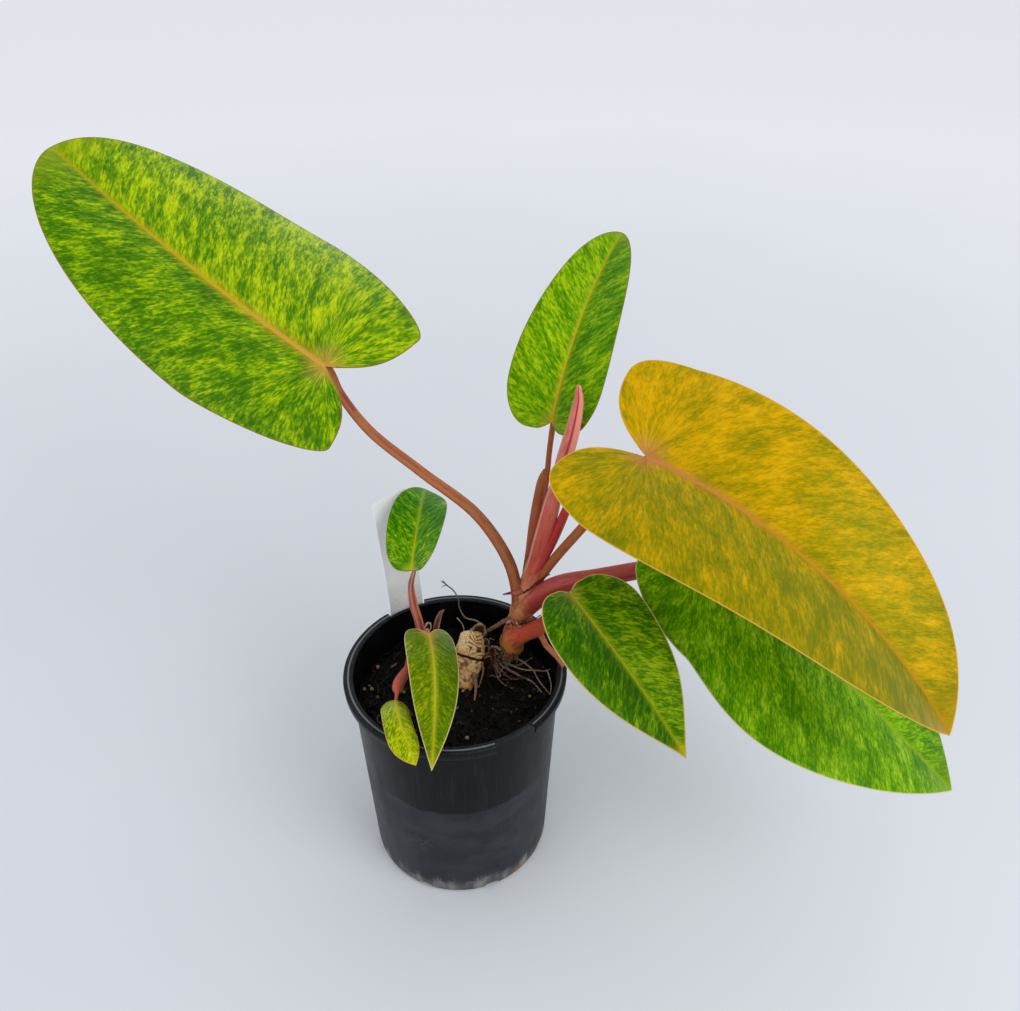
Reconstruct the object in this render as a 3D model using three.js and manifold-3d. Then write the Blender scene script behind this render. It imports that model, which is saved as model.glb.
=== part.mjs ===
// A potted painted lady philodendron: a black nursery pot of potting mix, the corky old stem, the red
// crown that grew from it, eight mottled leaves on their stalks, a rolled new leaf and a blank plant tag.
// Millimetres, +Z up, origin at the centre of the pot's underside, +Y away from the viewer of the plant.
import * as THREE from 'three';
import { mergeVertices } from 'three/addons/utils/BufferGeometryUtils.js';
import Module from 'manifold-3d';

const wasm = await Module();
wasm.setup();

const radians = THREE.MathUtils.degToRad;
const gap = 0.35; // clearance between neighbouring pieces

// Driving dimensions: the pot and what fills it.
const pot = {
  height: 215,
  rimRadius: 100,
  wallTopRadius: 93,
  footRadius: 84,
  wall: 2,
  rimThickness: 2.6,
  lipDepth: 8,
  lipWall: 2,
  baseThickness: 3,
  underGroove: [58, 76, 3], // from radius, to radius, depth
  footRound: 5,
  notchCentres: [122, -56], // gaps in the rim, degrees
  notchHalfAngle: 11.5,
  drains: 8,
  drainWidth: 15,
  drainHeight: 7,
};
const soilLevel = 185;
const stemFeet = [[12, 8, 16], [46, 38, 18], [-42, 38, 9]]; // x, y, radius kept free of chips
const soilChips = 36;

// Driving dimensions: the leaves. Every leaf starts where its stalk joins it, at base, and runs along its
// midrib at a heading (degrees from +X) and a pitch (degrees above level). Paired values go from the join
// to the tip. roll lifts the left half, fold opens the two halves into a V, arch bends them down again.
// On the flat leaf, widest is how far along the widest place lies, lobe how far the rounded lobes reach
// back past the join and lobeOut how far out they do, sinus the half angle of the notch between them and
// tip the half angle of the point. ease holds the roundness of notch, lobe, flank, shoulder and point.
// skew makes the left half wider. wave is the height of the margin's ripple and where its swing starts on the
// left and on the right.
const leaves = {
  upperLeft: {
    base: [-81.5, -11.5, 521.5], heading: 140, swing: 7, pitch: [11, 29], roll: [-35, -13.5],
    fold: 19, arch: 59, lift: -0.01, length: 306.5, half: 84.5, widest: 87, lobe: 47.5, lobeOut: 48.5,
    sinus: 21.5, tip: 76.5, ease: [0.54, 0.4, 0.18, 0.49, 0.28], skew: -0.07, wave: [1.6, 1.1, 1.9],
  },
  upperMiddle: {
    base: [83, 65, 430], heading: 64, swing: -2.5, pitch: [63.5, 19], roll: [-6.5, 12.5],
    fold: 23.5, arch: 11, lift: 0.01, length: 183, half: 43.5, widest: 30, lobe: 7, lobeOut: 19,
    sinus: 53, tip: 63, ease: [0.6, 0.63, 0.49, 0.33, 0.19], skew: 0, wave: [1.5, -1.1, 2.8],
  },
  smallUpright: {
    base: [-37, 32, 301], heading: 83, swing: 5.5, pitch: [45, -17.5], roll: [-40, 23.5],
    fold: 15.5, arch: 11.5, lift: 0, length: 100, half: 27.5, widest: 19.5, lobe: 1, lobeOut: 12,
    sinus: 66.5, tip: 49, ease: [0.57, 0.67, 0.52, 0.58, 0.39], skew: 0, wave: [0.7, -1.8, 2.1],
  },
  golden: {
    base: [153, 1, 438], heading: -39.5, swing: 5, pitch: [-1.5, -52.5], roll: [25.5, 9],
    fold: 23, arch: 23.5, lift: 0.26, length: 305.5, half: 85.5, widest: 42.5, lobe: 44, lobeOut: 53,
    sinus: 20.5, tip: 51.5, ease: [0.5, 0.71, 0.57, 0.34, 0.32], skew: -0.01, wave: [2.4, -1, -2.9],
  },
  lowGreen: {
    base: [213, 7, 337], heading: -37, swing: 14.5, pitch: [-24.5, -43], roll: [25.5, 9],
    fold: 11, arch: 30.5, lift: 0.12, length: 281.5, half: 78, widest: 39.5, lobe: 39.5, lobeOut: 42.5,
    sinus: 22, tip: 47.5, ease: [0.6, 0.54, 0.31, 0.09, 0.71], skew: -0.01, wave: [2.5, 1.5, 1],
  },
  front: {
    base: [97, -37, 333], heading: -52.5, swing: 14, pitch: [-20.5, -49.5], roll: [-1.5, 22.5],
    fold: 19, arch: 21, lift: -0.01, length: 157.5, half: 45.5, widest: 31, lobe: 5, lobeOut: 18,
    sinus: 51, tip: 26, ease: [0.58, 0.61, 0.48, 0.5, 0.34], skew: 0.01, wave: [1.6, 0.4, 1.3],
  },
  smallest: {
    base: [-47, -56, 232], heading: -83.5, swing: 25.5, pitch: [34, -47], roll: [-9, -9],
    fold: -14, arch: 39, lift: -0.12, length: 73.5, half: 14.5, widest: 12, lobe: 11.5, lobeOut: 9,
    sinus: 52, tip: 52.5, ease: [0.59, 0.73, 0.57, 0.57, 0.41], skew: 0, wave: [0.4, 1.5, -1.2],
  },
  drooping: {
    base: [-21.5, -2, 258], heading: -77, swing: -19.5, pitch: [10, -50], roll: [-12, 3.5],
    fold: -1.5, arch: 24.5, lift: -0.1, length: 129.5, half: 22.5, widest: 18.5, lobe: 12, lobeOut: 15,
    sinus: 43, tip: 22, ease: [0.59, 0.75, 0.6, 0.5, 0.31], skew: 0, wave: [0.7, 0.8, -1.6],
  },
};
const bladeThickness = 0.9;
const veinAngle = 52; // between midrib and side veins, degrees
const midribDepth = 0.011; // how far the midrib stands out below, for each millimetre of leaf ahead of it
const waveRate = 9; // radians of margin ripple along a leaf

// Driving dimensions: stems and stalks, as routes with a radius at each point.
const oldStem = {
  route: [[9, 0, 168], [10, 4, 186], [13, 14, 208], [15, 24, 224], [16.5, 31, 234]],
  radii: [12, 13.5, 13.8, 13.4, 9.5],
  scars: 7,
};
const brokenKnot = { route: [[18, 30, 230], [22, 34, 236], [26, 36, 238]], radii: [6, 6.5, 3.6] };
const crownStem = {
  route: [[47, 38, 193], [49.5, 39, 201], [52, 40, 213], [54.5, 40, 228], [57, 40, 247], [59, 40, 266]],
  radii: [7, 11, 11.5, 9.5, 8, 7],
};
const stalks = {
  upperLeft: {
    route: [[55, 40, 252], [55, 39, 270], [47.5, 36, 308], [22, 30, 361], [-22, 13, 417], [-56, 0, 461],
      [-74, -8, 498], [-81.5, -11.5, 521.5]],
    radii: [4.8, 5.2, 5.2, 4.8, 4.2, 3.8, 3.4, 3.3],
  },
  upperMiddle: {
    route: [[61, 46, 266], [66, 50, 286], [70, 51, 305], [75, 53, 331], [78, 56, 360], [80.5, 60, 385],
      [82, 62, 406], [83, 65, 430]],
    radii: [3.4, 3.4, 3.3, 3, 2.7, 2.5, 2.4, 2.4],
  },
  smallUpright: {
    route: [[-42, 38, 190], [-34, 38, 226], [-38, 36, 258], [-38.5, 34, 283], [-37, 32, 301]],
    radii: [3.6, 4, 3.9, 2.6, 1.8],
  },
  golden: {
    route: [[62, 38, 264], [76, 36, 291], [88.5, 30, 317], [110.5, 20, 358.5], [135, 9, 404], [153, 1, 438]],
    radii: [4.5, 4.6, 4.4, 4.2, 3.9, 3.6],
  },
  lowGreen: {
    route: [[54, 38, 243], [73, 31, 270], [92, 26, 289.5], [126, 18, 304.8], [157, 14, 315.5], [190, 10, 328],
      [213, 7, 337]],
    radii: [9.5, 9.5, 8.8, 8.3, 8, 6.2, 4.8],
  },
  front: {
    route: [[50, 36, 205], [53.8, 34, 218], [61.6, 30, 229], [71.8, 24, 239], [79.7, 12, 258], [89, -14, 297],
      [97, -37, 333]],
    radii: [10, 9.8, 8.8, 7.8, 6.6, 4.9, 4],
  },
  smallest: {
    route: [[-46, 30, 193], [-43, -5, 219], [-50, -32, 228], [-48, -46, 231], [-47, -56, 232]],
    radii: [3.4, 3.6, 3.9, 1.9, 1.6],
  },
  drooping: {
    route: [[-36, 31, 192], [-30, 24, 222], [-25, 13, 247], [-21.5, -2, 258]],
    radii: [3.2, 3, 2.4, 2],
  },
};
// The wing of the upper middle stalk: a thin rounded flap beside the stalk's foot.
const stalkWing = {
  route: [[63, 50, 284], [67.5, 51, 308], [70.5, 52, 333], [73.5, 54, 360], [76.5, 57, 380], [78, 58, 388]],
  radii: [3, 4.8, 5.6, 5, 3.8, 1.4],
};
const newLeafSheath = {
  route: [[61, 40, 262], [67, 40, 283], [73, 40, 307], [76.5, 40, 325], [85.5, 40, 373], [88.5, 40, 388]],
  radii: [6.5, 7.6, 8.2, 7.6, 5.6, 4.6],
};
const newLeafRoll = {
  route: [[87, 43, 380], [92, 42, 405], [97.8, 40, 433], [101.5, 40, 456], [102.6, 40, 469],
    [101.2, 40, 480]],
  radii: [5.4, 6.4, 6.2, 4.9, 3.3, 0.5],
};
const redBract = {
  route: [[71, 34, 296], [81.5, 34, 320], [96, 35, 363], [105, 36, 391]],
  radii: [3, 3.6, 3, 0.6],
};
const scarSpike = { route: [[58, 33, 275], [50.7, 32.5, 274.5], [42.7, 32, 273]], radii: [2.6, 1.6, 0.4] };
const offshootStem = { route: [[-42, 40, 172], [-42, 40, 190], [-38, 38, 200]], radii: [5, 5.5, 4] };
const driedSheath = {
  route: [[-27, 40, 196], [-22, 41, 214], [-20, 41, 232], [-15, 41, 245]],
  radii: [1.6, 3, 2.2, 0.6],
};
const aerialRoot = {
  route: [[76, 21, 236], [81.5, 13, 229], [88, 6, 226], [93.5, 2, 221], [96, -1, 217.4]],
  radii: [2.4, 2.2, 2.1, 1.9, 1.4],
};
const dryThread = {
  route: [[24, 36, 233], [17.5, 38, 236.5], [8.5, 40, 238], [3.3, 40, 249], [2, 40, 262], [-2.3, 40, 271.5],
    [-7.4, 40, 277], [-10.8, 40, 282]],
  radii: [0.9, 0.8, 0.8, 0.8, 0.8, 0.7, 0.7, 0.5],
};
// Roots: a matted core by the crown, and runners over the mix, as places seen from above.
const rootCore = { centre: [36, 27], radius: 9, above: 7.5 };
const rootRunners = [
  [[36, 28], [52, 24], [70, 30], [84, 26]],
  [[38, 26], [58, 20], [70, 10], [78, 0]],
  [[36, 24], [50, 16], [60, 16], [68, 20]],
  [[34, 24], [40, 12], [52, 4]],
  [[32, 26], [28, 12], [34, 0]],
  [[38, 30], [56, 34], [70, 44]],
  [[34, 30], [36, 46], [48, 60]],
];
const runnerRadius = 1.7;
const tag = {
  width: 34, top: 337, bottom: 176, thickness: 1, leanLeft: 4, leanBack: 12, angle: 122, radius: 95.6,
};

const colours = {
  pot: 0x17181a,
  soil: 0x1e1712,
  oldStem: 0xc39a66,
  crown: 0xb5663f,
  stalkBrown: 0xa5583a,
  stalkRed: 0x93302a,
  spear: 0xc7585a,
  root: 0x7d5138,
  leafGreen: 0x4f9a1c,
  leafDark: 0x2f7414,
  leafLime: 0x9cc21f,
  leafGold: 0xb8900f,
  tag: 0xe9ebec,
};

// A seeded random draw, so that the chips and roots fall alike in every build.
function makeRandom(seed) {
  let state = seed;
  return () => {
    state = (state * 1664525 + 1013904223) % 4294967296;
    return state / 4294967296;
  };
}

function toSolid(geometry) {
  const bare = geometry.clone();
  bare.deleteAttribute('normal');
  bare.deleteAttribute('uv');
  const merged = mergeVertices(bare, 1e-4);
  const kept = [];
  const index = merged.index.array;
  for (let i = 0; i < index.length; i += 3) {
    const [a, b, c] = [index[i], index[i + 1], index[i + 2]];
    if (a !== b && b !== c && c !== a) kept.push(a, b, c);
  }
  return new wasm.Manifold(new wasm.Mesh({
    numProp: 3,
    vertProperties: merged.attributes.position.array,
    triVerts: Uint32Array.from(kept),
  }));
}

function toGeometry(solid) {
  const mesh = solid.getMesh();
  const geometry = new THREE.BufferGeometry();
  geometry.setAttribute('position', new THREE.BufferAttribute(Float32Array.from(mesh.vertProperties), 3));
  geometry.setIndex(new THREE.BufferAttribute(Uint32Array.from(mesh.triVerts), 1));
  geometry.computeVertexNormals();
  return geometry;
}

// The largest of the pieces that a cut leaves.
function largest(solid) {
  const pieces = solid.decompose();
  pieces.sort((a, b) => b.volume() - a.volume());
  return pieces[0];
}

function fromTriangles(points, triangles) {
  const geometry = new THREE.BufferGeometry();
  geometry.setAttribute('position', new THREE.Float32BufferAttribute(points.flat(), 3));
  geometry.setIndex(triangles.flat());
  return geometry;
}

const vector = (p) => new THREE.Vector3(...p);

// A stem along a route with a radius at each of its points. shape(angle, along) scales the radius.
function stemGeometry({ route, radii }, { sides = 8, steps = 12, grow = 0, shape = () => 1 } = {}) {
  const curve = new THREE.CatmullRomCurve3(route.map(vector), false, 'centripetal');
  const frames = curve.computeFrenetFrames(steps, false);
  const points = [];
  for (let i = 0; i <= steps; i += 1) {
    const along = i / steps;
    const parameter = curve.getUtoTmapping(along);
    const place = parameter * (radii.length - 1);
    const before = Math.min(Math.floor(place), radii.length - 2);
    const radius = THREE.MathUtils.lerp(radii[before], radii[before + 1], place - before);
    const centre = curve.getPointAt(along);
    if (i === 0) centre.addScaledVector(frames.tangents[0], -grow);
    if (i === steps) centre.addScaledVector(frames.tangents[steps], grow);
    for (let k = 0; k < sides; k += 1) {
      const angle = (2 * Math.PI * k) / sides;
      const reach = radius * shape(angle, along) + grow;
      const point = centre.clone()
        .addScaledVector(frames.normals[i], reach * Math.cos(angle))
        .addScaledVector(frames.binormals[i], reach * Math.sin(angle));
      points.push(point.toArray());
    }
  }
  const triangles = [];
  for (let i = 0; i < steps; i += 1) {
    for (let k = 0; k < sides; k += 1) {
      const a = i * sides + k;
      const b = i * sides + ((k + 1) % sides);
      triangles.push([a, b, b + sides], [a, b + sides, a + sides]);
    }
  }
  const last = steps * sides;
  for (let k = 1; k < sides - 1; k += 1) {
    triangles.push([0, k + 1, k], [last, last + k, last + k + 1]);
  }
  return fromTriangles(points, triangles);
}

function bezier(p0, p1, p2, p3, t) {
  const u = 1 - t;
  const weights = [u * u * u, 3 * u * u * t, 3 * u * t * t, t * t * t];
  return [0, 1].map((k) => [p0, p1, p2, p3].reduce((sum, p, i) => sum + weights[i] * p[k], 0));
}

// One half of a flat leaf's margin, from the stalk round the lobe to the tip, as [across, along] points.
function margin(leaf, counts) {
  const [easeSinus, easeLobe, easeFlank, easeShoulder, easeTip] = leaf.ease;
  const join = [0, 0];
  const back = [leaf.lobeOut, -leaf.lobe];
  const wide = [leaf.half, leaf.widest];
  const tip = [0, leaf.length];
  const notch = radians(leaf.sinus);
  const point = radians(leaf.tip);
  const toBack = easeSinus * Math.hypot(back[0] - join[0], back[1] - join[1]);
  const toTip = easeTip * Math.hypot(wide[0] - tip[0], wide[1] - tip[1]);
  const handles = [
    [join, [join[0] + toBack * Math.sin(notch), join[1] - toBack * Math.cos(notch)],
      [back[0] / 2, back[1]], back],
    [back, [back[0] + easeLobe * (wide[0] - back[0]), back[1]],
      [wide[0], wide[1] - easeFlank * (wide[1] - back[1])], wide],
    [wide, [wide[0], wide[1] + easeShoulder * (tip[1] - wide[1])],
      [tip[0] + toTip * Math.sin(point), tip[1] - toTip * Math.cos(point)], tip],
  ];
  const points = [join];
  handles.forEach((four, part) => {
    for (let i = 1; i <= counts[part]; i += 1) points.push(bezier(...four, i / counts[part]));
  });
  return points;
}

// The midrib as a chain of short steps, each with its place, forward, left and up directions.
function midribChain(leaf, steps = 60) {
  const chain = [];
  const place = vector(leaf.base);
  const directions = (s) => {
    const pitch = radians(THREE.MathUtils.lerp(leaf.pitch[0], leaf.pitch[1], s));
    const heading = radians(leaf.heading + leaf.swing * s);
    const roll = radians(THREE.MathUtils.lerp(leaf.roll[0], leaf.roll[1], s));
    const forward = new THREE.Vector3(
      Math.cos(pitch) * Math.cos(heading), Math.cos(pitch) * Math.sin(heading), Math.sin(pitch));
    const level = new THREE.Vector3(-Math.sin(heading), Math.cos(heading), 0);
    const above = forward.clone().cross(level);
    const left = level.clone().multiplyScalar(Math.cos(roll)).addScaledVector(above, Math.sin(roll));
    const up = above.multiplyScalar(Math.cos(roll)).addScaledVector(level, -Math.sin(roll));
    return { forward, left, up };
  };
  for (let i = 0; i <= steps; i += 1) {
    chain.push({ place: place.clone(), ...directions(i / steps) });
    if (i < steps) place.addScaledVector(directions((i + 0.5) / steps).forward, leaf.length / steps);
  }
  return chain;
}

// Where a point of the flat leaf lies on the real, curved one. side is 1 for the left half, -1 for the right.
function onLeaf(leaf, chain, across, along, side) {
  const s = THREE.MathUtils.clamp(along / leaf.length, 0, 1) * (chain.length - 1);
  const before = Math.min(Math.floor(s), chain.length - 2);
  const mix = (key) => chain[before][key].clone().lerp(chain[before + 1][key], s - before);
  const bend = radians(leaf.fold - (leaf.arch * across) / leaf.half / 2);
  const behind = Math.min(along, 0);
  const [height, startLeft, startRight] = leaf.wave;
  const start = side > 0 ? startLeft : startRight;
  const ripple = height * (across / leaf.half) ** 2 * Math.sin((waveRate * along) / leaf.length + start);
  return mix('place')
    .addScaledVector(mix('forward'), behind)
    .addScaledVector(mix('left'), side * across * Math.cos(bend))
    .addScaledVector(mix('up'), across * Math.sin(bend) - leaf.lift * behind + ripple);
}

// A leaf blade: rows follow the side veins out from the midrib, and the same rows make both faces. The first
// row is the side of the notch, and the last is the tip, a single point.
function bladeGeometry(leaf, { rows: counts, columns }, grow = 0) {
  const chain = midribChain(leaf);
  const half = margin(leaf, counts);
  const slope = Math.tan(radians(veinAngle));
  const points = [];
  const place = (across, along, side, inner) => {
    const at = (x, y) => onLeaf(leaf, chain, x, y, side);
    const top = at(across, along);
    const left = at(across + 1, along).sub(at(Math.max(across - 1, 0), along)).multiplyScalar(side);
    const normal = at(across, along + 1).sub(at(across, along - 1)).cross(left).normalize();
    const station = Math.round(THREE.MathUtils.clamp(along / leaf.length, 0, 1) * (chain.length - 1));
    if (inner) normal.copy(chain[station].up);
    const ridge = inner ? Math.max(0.4, midribDepth * (leaf.length - along)) : 0;
    return [
      top.clone().addScaledVector(normal, grow).toArray(),
      top.clone().addScaledVector(normal, -bladeThickness - ridge - grow).toArray(),
    ];
  };
  const rows = half.slice(1).map(([across, along]) => {
    const start = Math.min(leaf.length, Math.max(0, along - across / slope));
    const row = { inner: place(0, start, 1, true), left: [], right: [] };
    if (across === 0) {
      row.left = row.right = columns.slice(1).map(() => row.inner);
      return row;
    }
    for (const u of columns.slice(1)) {
      const reach = u === 1 ? grow : 0;
      const y = start + u * (along - start);
      row.left.push(place(across * u * (1 + leaf.skew) + reach, y, 1, false));
      row.right.push(place(across * u * (1 - leaf.skew) + reach, y, -1, false));
    }
    return row;
  });
  const grid = (row, side, column) => (column === 0 ? row.inner : row[side][column - 1]);
  const triangles = [];
  const push = (a, b, c) => {
    triangles.push([points.push(a) - 1, points.push(b) - 1, points.push(c) - 1]);
  };
  const quad = (a, b, c, d) => {
    push(a, b, c);
    push(a, c, d);
  };
  const edge = columns.length - 1;
  for (const side of ['left', 'right']) {
    const turned = side === 'left';
    for (let i = 0; i < rows.length - 1; i += 1) {
      for (let k = 0; k < edge; k += 1) {
        const corners = [grid(rows[i], side, k), grid(rows[i + 1], side, k),
          grid(rows[i + 1], side, k + 1), grid(rows[i], side, k + 1)];
        const face = (level) => corners.map((corner) => corner[level]);
        const [a, b, c, d] = face(0);
        const [e, f, g, h] = face(1);
        if (turned) {
          quad(a, b, c, d);
          push(e, g, f);
          push(e, h, g);
        } else {
          push(a, c, b);
          push(a, d, c);
          quad(e, f, g, h);
        }
      }
      const [near, far] = [grid(rows[i], side, edge), grid(rows[i + 1], side, edge)];
      if (turned) quad(near[0], far[0], far[1], near[1]);
      else quad(near[0], near[1], far[1], far[0]);
    }
    for (let k = 0; k < edge; k += 1) {
      const [near, far] = [grid(rows[0], side, k), grid(rows[0], side, k + 1)];
      if (turned) quad(near[0], far[0], far[1], near[1]);
      else quad(near[0], near[1], far[1], far[0]);
    }
  }
  return fromTriangles(points, triangles);
}

const wallOuter = (z) => THREE.MathUtils.lerp(
  pot.footRadius, pot.wallTopRadius, THREE.MathUtils.clamp(z / (pot.height - pot.lipDepth), 0, 1));

function lathe(profile, segments = 36) {
  const geometry = new THREE.LatheGeometry(profile.map(([r, z]) => new THREE.Vector2(r, z)), segments);
  return geometry.rotateX(Math.PI / 2);
}

function blockAt(width, depth, height, angle, radius, z) {
  const block = new THREE.BoxGeometry(width, depth, height);
  block.translate(radius, 0, z);
  return toSolid(block.rotateZ(radians(angle)));
}

function makePot() {
  const [grooveFrom, grooveTo, grooveDepth] = pot.underGroove;
  const innerFloor = pot.baseThickness + grooveDepth;
  const top = pot.height;
  const underRim = top - pot.rimThickness;
  const profile = [
    [0, 0],
    [grooveFrom, 0],
    [grooveFrom + 2, grooveDepth],
    [grooveTo, grooveDepth],
    [grooveTo + 2, 0],
    [pot.footRadius - pot.footRound, 0],
    [pot.footRadius - 1.2, 1.6],
    [wallOuter(pot.footRound), pot.footRound],
    [wallOuter(underRim), underRim],
    [pot.rimRadius - pot.lipWall, underRim],
    [pot.rimRadius - pot.lipWall, top - pot.lipDepth],
    [pot.rimRadius - 0.4, top - pot.lipDepth],
    [pot.rimRadius, top - 1.2],
    [pot.rimRadius - 1.2, top],
    [wallOuter(top) - pot.wall + 1, top],
    [wallOuter(top) - pot.wall, top - 1],
    [wallOuter(innerFloor) - pot.wall, innerFloor],
    [0, innerFloor],
  ];
  let solid = toSolid(lathe(profile));
  const keep = pot.wallTopRadius + 0.6; // the wall's own edge goes on through each gap in the rim
  for (const centre of pot.notchCentres) {
    const wedge = new THREE.Shape();
    const from = radians(centre - pot.notchHalfAngle);
    const to = radians(centre + pot.notchHalfAngle);
    wedge.absarc(0, 0, pot.rimRadius + 20, from, to, false);
    wedge.absarc(0, 0, keep, to, from, true);
    const cut = new THREE.ExtrudeGeometry(wedge, { depth: 20, bevelEnabled: false, curveSegments: 6 });
    solid = solid.subtract(toSolid(cut.translate(0, 0, top - 14)));
  }
  for (let i = 0; i < pot.drains; i += 1) {
    const angle = (360 * (i + 0.5)) / pot.drains;
    const slot = blockAt(26, pot.drainWidth, 2 * pot.drainHeight, angle, pot.footRadius, 0);
    solid = solid.subtract(slot);
  }
  return largest(solid);
}

// The mix's surface height: low mounds, a little higher in the middle.
function soilHeight(x, y) {
  const mounds = 2.2 * Math.sin(x / 17 + 1) * Math.cos(y / 21)
    + 1.4 * Math.sin(x / 8 - y / 11)
    + Math.cos(y / 7 + x / 13);
  return soilLevel + mounds - (Math.hypot(x, y) / pot.wallTopRadius) ** 4 * 3;
}

function makeSoil() {
  const rings = 7;
  const spokes = 28;
  const floor = pot.baseThickness + pot.underGroove[2] + gap;
  const topRadius = wallOuter(soilLevel) - pot.wall - gap - 0.4;
  const bottomRadius = wallOuter(floor) - pot.wall - gap - 0.6;
  const points = [[0, 0, soilHeight(0, 0)], [0, 0, floor]];
  for (let ring = 1; ring <= rings; ring += 1) {
    for (let k = 0; k < spokes; k += 1) {
      const angle = (2 * Math.PI * (k + ring / 2)) / spokes;
      const radius = (topRadius * ring) / rings;
      const [x, y] = [radius * Math.cos(angle), radius * Math.sin(angle)];
      points.push([x, y, soilHeight(x, y)]);
    }
  }
  const under = points.length;
  for (let k = 0; k < spokes; k += 1) {
    const angle = (2 * Math.PI * (k + rings / 2)) / spokes;
    points.push([bottomRadius * Math.cos(angle), bottomRadius * Math.sin(angle), floor]);
  }
  const triangles = [];
  for (let k = 0; k < spokes; k += 1) {
    const next = (k + 1) % spokes;
    triangles.push([0, 2 + k, 2 + next], [1, under + next, under + k]);
    for (let ring = 0; ring < rings - 1; ring += 1) {
      const near = 2 + ring * spokes;
      const far = near + spokes;
      triangles.push([near + k, far + k, near + next], [near + next, far + k, far + next]);
    }
    const rim = 2 + (rings - 1) * spokes;
    triangles.push([rim + k, under + k, under + next], [rim + k, under + next, rim + next]);
  }
  let solid = toSolid(fromTriangles(points, triangles));
  const random = makeRandom(11);
  const chips = [];
  while (chips.length < soilChips) {
    const angle = random() * 2 * Math.PI;
    const radius = Math.sqrt(random()) * (topRadius - 9);
    const [x, y] = [radius * Math.cos(angle), radius * Math.sin(angle)];
    const size = 2.2 + 2.6 * random();
    const tilt = 0.9 * random();
    const turn = 3 * random();
    if (stemFeet.every(([footX, footY, reach]) => Math.hypot(x - footX, y - footY) > reach + size)) {
      const chip = new THREE.OctahedronGeometry(size);
      chip.scale(1.5, 1, 0.6).rotateX(tilt).rotateZ(turn);
      chips.push(toSolid(chip.translate(x, y, soilHeight(x, y) + 0.2 * size)));
    }
  }
  for (const chip of chips) solid = solid.add(chip);
  return solid;
}

// Corky old stem: leaf scars ring it, each a low swelling, and a broken knot stands at its upper end.
function makeOldStem(grow = 0) {
  const scars = (angle, along) => 1
    + 0.05 * Math.sin(2 * Math.PI * oldStem.scars * along + 1.2 * Math.sin(angle))
    + 0.03 * Math.sin(3 * angle + 9 * along);
  const trunk = stemGeometry(oldStem, { sides: 14, steps: 21, grow, shape: scars });
  return toSolid(trunk).add(toSolid(stemGeometry(brokenKnot, { steps: 4, grow })));
}

function makeCrown(grow = 0) {
  const nodes = (angle, along) => 1 + 0.06 * Math.sin(2 * Math.PI * 6 * along + angle);
  return toSolid(stemGeometry(crownStem, { sides: 12, steps: 14, grow, shape: nodes }));
}

// The room over a leaf's underside at its join, where its stalk ends.
function roomOverJoin(leaf) {
  const { place, forward, left, up } = midribChain(leaf)[0];
  const depth = bladeThickness + midribDepth * leaf.length + 1.5 * gap;
  const block = new THREE.BoxGeometry(60, 60, 20).translate(0, 0, 10 - depth);
  return toSolid(block.applyMatrix4(new THREE.Matrix4().makeBasis(forward, left, up).setPosition(place)));
}

// Every stalk ends square under its leaf, but the smallest leaf's runs in between the lobes.
function makeStalk(name, grow = 0) {
  let stalk = toSolid(stemGeometry(stalks[name], { grow }));
  if (name !== 'smallest') stalk = stalk.subtract(roomOverJoin(leaves[name]));
  if (name !== 'upperMiddle') return stalk;
  return stalk.add(toSolid(stemGeometry(stalkWing, { steps: 9, grow })));
}

// How finely a blade is split: points on the notch, the lobe and the rest, and columns from midrib to margin.
const bladeGrids = {
  large: { rows: [3, 5, 12], columns: [0, 0.07, 0.36, 0.7, 1] },
  medium: { rows: [2, 4, 10], columns: [0, 0.07, 0.36, 0.7, 1] },
  small: { rows: [2, 3, 7], columns: [0, 0.1, 0.55, 1] },
};
const bladeSize = {
  upperLeft: 'large', golden: 'large', lowGreen: 'large', upperMiddle: 'medium', front: 'medium',
  smallUpright: 'small', smallest: 'small', drooping: 'small',
};

function makeBlade(name, grow = 0) {
  return toSolid(bladeGeometry(leaves[name], bladeGrids[bladeSize[name]], grow));
}

function makeRoots() {
  const [coreX, coreY] = rootCore.centre;
  const core = new THREE.IcosahedronGeometry(rootCore.radius, 1);
  core.scale(1.25, 0.8, 0.62).rotateZ(radians(25));
  core.translate(coreX, coreY, soilHeight(coreX, coreY) + rootCore.above);
  let solid = toSolid(core);
  for (const runner of rootRunners) {
    const route = runner.map(([x, y], i) => [x, y, soilHeight(x, y) + (i === 0 ? 5 : 2.3)]);
    const radii = runner.map((_, i) => runnerRadius * (1 - (0.55 * i) / (runner.length - 1)));
    solid = solid.add(toSolid(stemGeometry({ route, radii }, { sides: 5, steps: 7 })));
  }
  return solid;
}

function makeNewRoll(grow = 0) {
  const seam = (angle) => 1 + 0.16 * (angle / (2 * Math.PI));
  return toSolid(stemGeometry(newLeafRoll, { sides: 12, grow, shape: seam }));
}

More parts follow.
